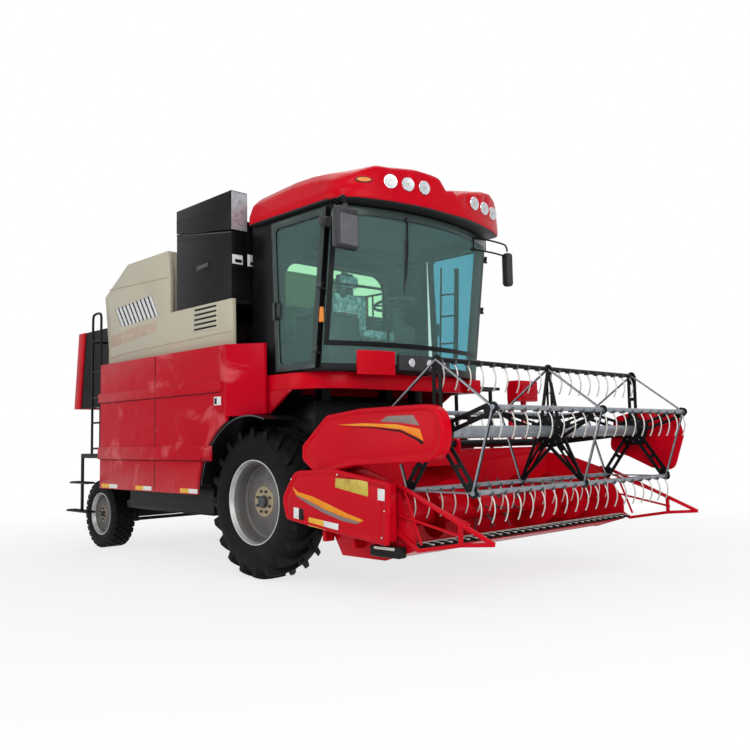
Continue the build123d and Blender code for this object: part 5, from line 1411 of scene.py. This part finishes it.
def addRoofLamps():
    # each lamp lies on the roof's front: a dark body, a chrome ring, and a dished lens with its bulb
    parts = []
    radius = roofLamps["radius"]
    for y in roofLamps["places"]:
        start = at(1.9, y, roofLamps["z"])
        spot, normal = bpy.data.objects["cabRoof"].ray_cast(start, Vector((-1, 0, 0)))[1:3]
        level = Vector((1, 0, 0)) if y > 0 else Vector((normal.x, normal.y, 0)).normalized()
        ring = [(-0.055, 0.012), (-0.050, radius - 0.008), (0.004, radius - 0.003), (0.012, radius),
            (0.016, radius - 0.003), (0.016, radius - 0.008)]
        dome = [(0.016, radius - 0.008), (0.013, radius * 0.65), (0.012, radius * 0.35), (0.011, 0.004)]
        bulb = [(0.010, 0.018), (0.0145, 0.016), (0.015, 0.003)]
        lamp = joinAll([addTurned(profile, (0, 0, 0), finish, sides) for profile, finish, sides in (
            (ring, "chromeRod", 40), (dome, "lampLens", 40), (bulb, "silverRim", 20))])
        turn = level.to_track_quat("X", "Z").to_matrix().to_4x4()
        lamp.data.transform(Matrix.Translation(spot) @ turn @ turnBy(-90, "Z"))
        parts.append(closeUp(lamp, 0.00001))
    standIn("roof_lamps", "roofLamps", parts)


addRoofLamps()


mirrors = {"near": {"box": ((1.050, -1.222, 2.635), (1.130, -0.990, 2.965)), "shell": True},
    "far": {"box": ((0.945, 1.078, 2.625), (1.035, 1.162, 2.955)), "shell": False}}


def addMirrors():
    # near: a deep black housing on a short arm; far: a housing on a two-bar arm
    parts = []
    for look in mirrors.values():
        low, high = (at(*corner) for corner in look["box"])
        parts.append(addBlock(low, high, "blackPlastic", 0.030, 5))
        parts.append(addBlock((low.x - 0.002, low.y + 0.014, low.z + 0.022),
            (low.x + 0.006, high.y - 0.014, high.z - 0.022), "mirrorFace", 0.006, 2))
        if look["shell"]:
            parts.append(addBlock((high.x - 0.010, low.y + 0.026, low.z + 0.026),
                (high.x + 0.007, high.y - 0.026, high.z - 0.060), "mirrorShell", 0.008, 4))
    near = [(0.86, -0.98, 3.06), (0.93, -1.06, 3.075), (1.05, -1.10, 3.075), (1.09, -1.11, 3.06),
        (1.09, -1.11, 2.95)]
    parts.append(tubeAt(near, 0.011, "blackPaint", 5, 5))
    parts += addRods(((1.09, -1.11, 2.955), (1.09, -1.11, 2.995), 0.024, "blackPlastic", 20, 0.004))
    for z in (2.930, 3.045):
        far = [(0.93, 0.62, z), (0.975, 0.80, z), (0.985, 1.06, z - 0.004), (0.99, 1.115, z - 0.02),
            (0.99, 1.12, z - 0.075)]
        parts.append(tubeAt(far, 0.0085, "blackPaint", 5, 5))
    parts += addRods(*(((x, y, 2.930), (x, y, 3.045), 0.006, "blackPaint", 10) for x,
        y in ((0.972, 0.80), (0.945, 0.66))))
    standIn("mirrors", "mirrors", parts)


addMirrors()


ladder = {"y": -1.275, "tube": 0.0135, "rails": (-2.920, -2.720), "top": 2.596, "foot": 1.03,
    "rungs": (1.11, 1.39, 1.67, 1.95, 2.29), "steps": ((0.74, -3.24, -2.83), (0.43, -3.32, -2.80)),
    "treads": 9, "back": -3.15, "wall": -1.083}


def addLadder():
    y, tube, back, foot, top = (ladder[key] for key in ("y", "tube", "back", "foot", "top"))
    rear, front = ladder["rails"]
    half = [(rear, foot), (rear, 1.8), (rear, top - 0.16), (rear, top - 0.02), (rear + 0.05, top)]
    hoop = half + [(rear + front - x, z) for x, z in half[::-1]]
    parts = [tubeAt([(x, y, z) for x, z in hoop], tube, "blackPaint", 8, 6)]
    parts += addRods(*(((rear, y, z), (front, y, z), 0.011, "blackPaint", 12) for z in ladder["rungs"]))
    parts += addBlocks(*(((x - 0.012, y, z - 0.012), (x + 0.012, ladder["wall"], z + 0.012), "blackPaint",
        0.003, 1) for x, z in ((front, 1.67), (rear, 1.67), (rear, 2.29))))
    parts += addBlocks(((back, y - 0.020, foot - 0.025), (front + 0.012, y + 0.004, foot + 0.025),
        "blackPaint", 0.004, 2), ((back, y - 0.020, 0.43), (back + 0.04, y + 0.004, foot), "blackPaint",
        0.004, 2))
    for z, start, stop in ladder["steps"]:
        parts += addBlocks(((start, y - 0.110, z - 0.012), (stop, y + 0.004, z + 0.002), "blackPaint", 0.003,
            1))
        for number in range(ladder["treads"]):
            x = start + 0.02 + (stop - start - 0.05) * number / (ladder["treads"] - 1)
            parts += addBlocks(((x, y - 0.104, z + 0.001), (x + 0.010, y - 0.002, z + 0.011), "blackPaint",
                0.002, 1))
    standIn("rear_ladder", "rearLadder", parts)


addLadder()
print("stage: lamps, mirrors and ladder")

box = {"rear": -1.295, "front": -0.355, "outer": -1.190, "inner": -0.752, "slim": -1.008, "low": 2.442,
    "top": 3.432, "shoulder": 3.170, "lid": (3.202, 3.062), "handle": (-0.935, -0.714, 2.755, 2.851),
    "labels": (((-1.176, 2.760), (-1.062, 2.845)), ((-1.010, 2.756), (-0.945, 2.865)))}


def addRadiatorBox():
    # a black box with a slim upper part, a lid that slopes to the front, a recessed handle and three folds
    rear, front, outer, low, top = (box[key] for key in ("rear", "front", "outer", "low", "top"))
    shoulder, slim = box["shoulder"], box["slim"]
    lidRear, lidFront = box["lid"]
    skin = outer + 0.004
    bodies = (([(rear, low), (front, low), (front, shoulder), (rear, shoulder)], outer + 0.16, box["inner"],
        0.006), ([(rear, low), (front, low), (front, lidFront - 0.004), (rear, lidRear - 0.004)], skin,
        outer + 0.185, 0.005), ([(rear, lidRear + 0.004), (front, lidFront + 0.004), (front, top),
        (rear, top)], outer, slim, 0.005))
    parts = [addPlate(sideRing(ring), zero.y + near, zero.y + far, "blackPaint", bevel) for ring, near, far,
        bevel in bodies]

    def addFrontPlate(ring, behind, proud, *look):
        parts.append(addPlate(crossRing(ring), zero.x + front + behind, zero.x + front + proud, *look,
            axis="X"))

    # the sheet-metal front of the lid, and the folds that run along the side
    addFrontPlate([(outer + 0.006, lidFront + 0.012), (slim - 0.006, lidFront + 0.012),
        (slim - 0.006, top - 0.006), (outer + 0.006, top - 0.006)], -0.002, 0.0015, "zincSheet")
    for drop, proud in ((0.105, 0.003), (0.135, 0.0015), (0.235, 0.002)):
        head, foot = top - drop, top - drop - 0.012
        slope = (lidRear - lidFront) * min(1, drop / 0.3)
        ring = [(rear + 0.004, foot), (front - 0.004, foot - slope), (front - 0.004, head - slope),
            (rear + 0.004, head)]
        parts.append(addPatch(ring, outer + 0.001, "blackGloss", proud, 0.001))
    for head, foot, finish in ((0.012, 0.020, "ironCast"), (0.050, 0.062, "blackGloss")):
        parts.append(addPatch([(rear + 0.004, lidRear - foot), (front - 0.004, lidFront - foot),
            (front - 0.004, lidFront - head), (rear + 0.004, lidRear - head)], skin, finish, 0.0015))
    back, fore, foot, head = box["handle"]
    rim = roundRing([(back, foot), (fore, foot + 0.012), (fore, head), (back, head - 0.012)], 0.012, 3)
    parts.append(addPatch(rim, skin, "blackGloss", 0.004, 0.0015))
    well = roundRing([(back + 0.018, foot + 0.030), (fore - 0.016, foot + 0.040),
        (fore - 0.016, head - 0.020), (back + 0.018, head - 0.034)], 0.01, 3)
    parts.append(addPatch(well, skin - 0.0035, "ironCast", 0.0015))
    for start, stop in box["labels"]:
        addFrontPlate(boxRing(start, stop), 0, 0.0015, "whiteStrip", 0.0004)
        line = boxRing((start[0] + 0.03, start[1] + 0.015), (stop[0] - 0.01, start[1] + 0.045))
        addFrontPlate(line, 0.0013, 0.0022, "blackPaint")
    standIn("radiator_box", "radiatorBox", parts)


addRadiatorBox()


# the fenders: a black band over each tyre, with a paler edge on the outside
fenderEdge = 1.262
fenders = softCopy("fenders", "blackPaint", 0.004, 2)
paintWhere(fenders, "ironCast", lambda spot, way: abs(spot.y) > fenderEdge and abs(way.y) > 0.8)
standIn("fenders", "fenders", [fenders])


screen = {"foot": 0.658, "head": 0.808, "low": 1.80, "high": 3.01, "bow": 0.220, "half": 1.0, "sill": 1.93,
    "rear": -0.282}


def screenX(y, z):
    # how far forward the outer face of the bowed windscreen stands
    corner = screen["foot"] + (z - screen["low"]) / (screen["high"] - screen["low"]) * (screen["head"]
        - screen["foot"])
    radius = (screen["half"] ** 2 + screen["bow"] ** 2) / (2 * screen["bow"])
    return corner + screen["bow"] - (radius - math.sqrt(radius ** 2 - y ** 2))


def addBowed(rightY, leftY, low, high, near, far, finish, bevel=0.004, lean=True):
    # a panel that follows the windscreen's bow, between two distances in front of it
    startPiece()
    count = max(2, round(abs(leftY - rightY) / 0.05))
    bpy.ops.mesh.primitive_cube_add(size=1, location=(0.5, 0.5, 0.5))
    shape = settle(bpy.context.object)
    bpy.ops.object.mode_set(mode="EDIT")
    for cut in range(1, count):
        bpy.ops.mesh.select_all(action="SELECT")
        bpy.ops.mesh.bisect(plane_co=(0, cut / count, 0), plane_no=(0, 1, 0))
    bpy.ops.object.mode_set(mode="OBJECT")
    for spot in shape.data.vertices:
        y = rightY + (leftY - rightY) * spot.co.y
        z = low + (high - low) * spot.co.z
        x = screenX(y, z if lean else low) + near + (far - near) * spot.co.x
        spot.co = at(x, y, z)
    roundEdges(closeUp(shape), bevel, 2, 40)
    return settle(shape, finish)


cabFront = {"cowl": (-0.715, -0.350, 1.700, 1.905), "box": (-0.330, 0.330, 1.742, 1.880),
    "lamps": (-0.20, 0.02, 0.20)}


def addCabFront():
    # before the windscreen's foot: the red upright panel, and the black box with three lamps beside it
    right, left, low, high = cabFront["cowl"]
    parts = [addBowed(right, left, low, high, 0.010, 0.026, "redPaint", 0.004, False)]
    right, left, low, high = cabFront["box"]
    parts.append(addBowed(right, left, low, high, 0.006, 0.050, "blackPlastic", 0.008, False))
    for y in cabFront["lamps"]:
        x, z = screenX(y, low) + 0.046, (low + high) / 2
        parts += addRods(((x, y, z), (x + 0.014, y, z), 0.038, "chromeRod", 28, 0.003),
            ((x + 0.010, y, z), (x + 0.017, y, z), 0.032, "lampLens", 28, 0.003))
    return parts


def addScreenParts():
    # the screen's dark border, the cab's rear pane, grab rails, the wiper, and the front post's lamps
    low, high = screen["low"], screen["high"]
    parts = [addBowed(-0.985, 0.985, high + 0.004, high + 0.070, 0.0, 0.004, "glassBand", 0, False),
        addBowed(-0.985, 0.985, low - 0.062, low - 0.004, 0.0, 0.004, "glassBand", 0, False)]
    sill, rear = screen["sill"], zero.x + screen["rear"]
    pane = roundRing(boxRing((-0.652, 2.118), (0.652, 2.842)), 0.16, 6)
    parts.append(addPlate(crossRing(pane), rear, rear + 0.005, "paneGlass", axis="X"))
    rim = roundRing(boxRing((-0.665, 2.105), (0.665, 2.855)), 0.17, 6)
    parts.append(addTube([(rear + 0.034, y, z) for y, z in crossRing(rim)], 0.012, "blackPlastic", 1, 4, True,
        False))
    # grab rails inside the far door
    for x, radius, head in ((0.455, 0.024, 2.86), (0.250, 0.010, 2.90)):
        rail = [(x - 0.02, 0.955, sill), (x, 0.95, sill + 0.2), (x + 0.03, 0.95, head)]
        parts.append(tubeAt(rail, radius, "blackPaint", 5, 5))
    parts += addRods(*(((0.250, 0.952, z), (0.455, 0.952, z - 0.01), 0.009, "blackPaint", 12)
        for z in (2.12, 2.40, 2.62)))
    parts.append(addBowed(-0.995, 0.995, sill + 0.004, sill + 0.045, 0.0005, 0.002, "blackGloss", 0))
    for side in (-1, 1):
        parts.append(addBowed(side * 0.995, side * 0.955, sill + 0.03, high - 0.03, 0.0005, 0.002,
            "blackGloss", 0))
    arm = ((-0.33, 3.02), (-0.325, 2.95), (-0.30, 2.72), (-0.30, 2.50))
    parts.append(tubeAt([(screenX(y, z) + (0.016 if z > 2.6 else 0.010), y, z) for y, z in arm], 0.007,
        "blackPaint", 6, 5))
    blade = ((-0.325, 2.86), (-0.30, 2.62), (-0.305, 2.42))
    parts.append(tubeAt([(screenX(y, z) + 0.007, y, z) for y, z in blade], 0.0065, "blackPlastic", 6, 4))
    y, z = arm[0]
    x = screenX(y, z)
    parts += addRods(((x + 0.002, y, z), (x + 0.035, y, z), 0.022, "blackPlastic", 24, 0.004))
    # side marker and round lamp on the right front post
    parts += addBlocks(((0.655, -1.030, 2.120), (0.700, -1.000, 2.247), "amberLens", 0.010, 4))
    return parts + addRods(((0.802, -1.082, 2.885), (0.835, -1.082, 2.957), 0.052, "blackPlastic", 32, 0.014),
        ((0.812, -1.085, 2.93), (0.800, -1.000, 2.96), 0.012, "blackPaint", 12))


standIn("cab_frame", "cabFrame", [softCopy("cab_frame", "blackPaint", 0.004), *addCabFront(),
    *addScreenParts()])


# the door frames: black edges under a dark glass band, with a handle
for side, name in ((-1, "right"), (1, "left")):
    frameShape = softCopy(f"door_frame_{name}", "blackPaint", 0.004)
    paintWhere(frameShape, "glassBand", lambda spot, way: abs(way.y) > 0.9 and abs(spot.y) > 1.01)
    handle = addSideBlock(side, 1.022, 1.052, (0.120, 2.215), (0.165, 2.345), "blackPlastic", 0.010, 3)
    standIn(f"door_frame_{name}", "doorFrame" + name.title(), [frameShape, handle])


# the glass keeps its CAD shape: the far door's glass is given a stronger blue, painted sky seen through it
nodes["door_glass_left"].data.materials[0] = materials["blueGlass"]


seat = {"pan": ((-0.070, -0.240, 2.066), (0.388, 0.240, 2.170)),
    "back": ((-0.140, -0.230, 2.190), (-0.040, 0.230, 2.590)),
    "head": ((-0.130, -0.130, 2.625), (-0.055, 0.130, 2.765)), "voxel": 0.010, "pressure": 4.0, "frames": 20,
    "cap": 0.014, "channel": 0.004, "channelReach": 0.016, "room": 0.012}


def puffUp(shape):
    # cloth under pressure, with its movement capped; the seams are pressed in afterwards
    applyModifier(shape, "REMESH", mode="VOXEL", voxel_size=seat["voxel"])
    start = [spot.co.copy() for spot in shape.data.vertices]
    bpy.context.view_layer.objects.active = shape
    cloth = shape.modifiers.new("cloth", "CLOTH")
    cloth.settings.use_pressure = True
    cloth.settings.uniform_pressure_force = seat["pressure"]
    cloth.settings.effector_weights.gravity = 0
    for step in range(1, seat["frames"] + 1):
        bpy.context.scene.frame_set(step)
    bpy.ops.object.modifier_apply(modifier="cloth")
    bpy.context.scene.frame_set(1)
    for spot, old in zip(shape.data.vertices, start):
        move = spot.co - old
        if move.length > seat["cap"]:
            spot.co = old + move * (seat["cap"] / move.length)
    return shape


def addCushion(low, high, upAxis, channels):
    # a soft block: its corners drawn in, blown up, and pressed in along its seams
    low, high = Vector(low), Vector(high)
    room = Vector([seat["room"]] * 3)
    width = seat["channelReach"]
    shape = addBlock(at(*(low + room)), at(*(high - room)), "wrapFilm", 0.030, 4)
    puffUp(shape)
    middle = at(*((low + high) / 2))
    half = (high - low) / 2
    for spot in shape.data.vertices:
        away = spot.co - middle
        for axis, reach in channels:
            near = abs(abs(away[axis]) - reach)
            if near < width:
                spot.co[upAxis] -= math.copysign(seat["channel"] * (1 + math.cos(math.pi * near / width)),
                    away[upAxis])
    for spot in shape.data.vertices:
        away = spot.co - middle
        for axis in range(3):
            if abs(away[axis]) > half[axis]:
                spot.co[axis] = middle[axis] + math.copysign(half[axis], away[axis])
    applyModifier(shape, "SUBSURF", levels=1, render_levels=1)
    return settle(shape, "wrapFilm", 60)


def addSeat():
    for key, upAxis, channels, fill in (("pan", 2, ((1, 0.155),), 0.7), ("back", 0, ((1, 0.150),), 0.7),
            ("head", 0, (), 0.8)):
        shape = addCushion(*seat[key], upAxis, channels)
        finishPiece("seat" + key.title(), "root", [shape])
    parts = addBlocks(((-0.06, -0.20, 1.729), (0.30, 0.20, 1.790), "blackPlastic", 0.012, 3),
        ((-0.02, -0.15, 1.785), (0.26, 0.15, 1.990), "blackPlastic", 0.030, 4),
        ((-0.06, -0.21, 1.985), (0.32, 0.21, 2.058), "blackPlastic", 0.014, 3),
        ((-0.149, -0.17, 2.06), (-0.139, 0.17, 2.52), "blackPlastic", 0.003, 2))
    # the folds of the bellows, then a rod of the headrest and an armrest at each side
    for fold in range(4):
        z = 1.82 + fold * 0.045
        parts += addBlocks(((-0.032, -0.162, z - 0.008), (0.272, 0.162, z + 0.008), "blackPlastic", 0.006, 2))
    for side in (-1, 1):
        parts += addRods(((-0.095, side * 0.06, 2.575), (-0.095, side * 0.06, 2.64), 0.007, "chromeRod", 14))
        rest = [(-0.11, side * 0.236, 2.30), (-0.02, side * 0.240, 2.315), (0.16, side * 0.242, 2.30)]
        parts.append(tubeAt(rest, 0.016, "blackPlastic", 6, 5))
    standIn("seat", "seatBase", parts)


addSeat()


wheel = {"centre": (0.520, 0, 2.392), "way": (-0.12, 0, 0.65), "radius": 0.184, "rim": 0.0135, "spokes": 3,
    "foot": (0.640, 0, 1.760)}


def addSteering():
    # a rim with three spokes and a boss, on a column that widens to a housing at its foot
    radius = wheel["radius"]
    startPiece()
    bpy.ops.mesh.primitive_torus_add(major_radius=radius, minor_radius=wheel["rim"], major_segments=56,
        minor_segments=12)
    turned = [settle(bpy.context.object, "blackPlastic", 60),
        addRod((0, 0, -0.012), (0, 0, 0.012), 0.045, "blackPlastic", 32, 0.006)]
    for number in range(wheel["spokes"]):
        turn = math.radians(90 + 360 * number / wheel["spokes"])
        x, y = radius * math.cos(turn), radius * math.sin(turn)
        turned.append(addTube([(0, 0, -0.004), (x / 2, y / 2, -0.006), (x, y, 0)], 0.009, "blackPlastic", 5,
            4))
    turned = joinAll(turned)
    lean = Vector(wheel["way"]).normalized().to_track_quat("Z", "Y").to_matrix().to_4x4()
    turned.data.transform(Matrix.Translation(at(*wheel["centre"])) @ lean)
    foot, head = Vector(wheel["foot"]), Vector(wheel["centre"])
    parts = [turned, *addRods((foot, head, 0.030, "blackPaint", 24),
        (foot.lerp(head, 0.38), foot.lerp(head, 0.94), 0.046, "blackPlastic", 24, 0.010))]
    parts += addBlocks(((0.585, -0.090, 1.730), (0.715, 0.090, 1.90), "blackPlastic", 0.025, 4))
    start = foot.lerp(head, 0.84)
    for side, reach in ((-1, 0.15), (1, 0.13)):
        stalk = [start, start + Vector((0, side * 0.08, 0.004)), start + Vector((0.005, side * reach, 0.022))]
        parts.append(tubeAt(stalk, 0.006, "blackPlastic", 5, 4))
    # the dial's housing and its face
    parts += addBlocks(((0.628, -0.125, 2.02), (0.668, 0.125, 2.17), "blackPlastic", 0.014, 4),
        ((0.624, -0.105, 2.035), (0.630, 0.105, 2.155), "mirrorFace", 0.002, 2))
    standIn("steering_column", "steeringColumn", parts)


addSteering()


def addConsole():
    # the control box beside the seat, with its padded top, a lever and switches, and the rail before it
    parts = addBlocks(((-0.058, -0.718, 1.729), (0.518, -0.422, 2.240), "blackPlastic", 0.030, 4),
        ((-0.050, -0.712, 2.225), (0.340, -0.430, 2.284), "blackPaint", 0.024, 4),
        ((0.350, -0.700, 2.238), (0.505, -0.440, 2.262), "ironCast", 0.006, 2))
    lever = [(0.385, -0.560, 2.250), (0.400, -0.560, 2.33), (0.440, -0.560, 2.44)]
    parts.append(tubeAt(lever, 0.009, "chromeRod", 6, 5))
    parts += addBlocks(((0.420, -0.585, 2.405), (0.465, -0.535, 2.488), "blackPlastic", 0.018, 4))
    for number, finish in enumerate(("paleSlat", "orangePaint", "paleSlat", "paleSlat")):
        y = -0.66 + 0.06 * number
        parts += addBlocks(((0.470, y, 2.258), (0.495, y + 0.03, 2.272), finish, 0.004, 2))
    rail = [(-0.900, 2.455), (-0.420, 2.470), (-0.300, 2.465), (-0.275, 2.36), (-0.262, 2.05),
        (-0.255, 1.732)]
    parts.append(tubeAt([(0.700, y, z) for y, z in rail], 0.0125, "blackPaint", 8, 6))
    parts += addRods(((0.700, -0.975, 2.452), (0.700, -0.890, 2.455), 0.0125, "blackPaint", 20))
    standIn("console", "console", parts)


addConsole()
print("stage: cab and box")
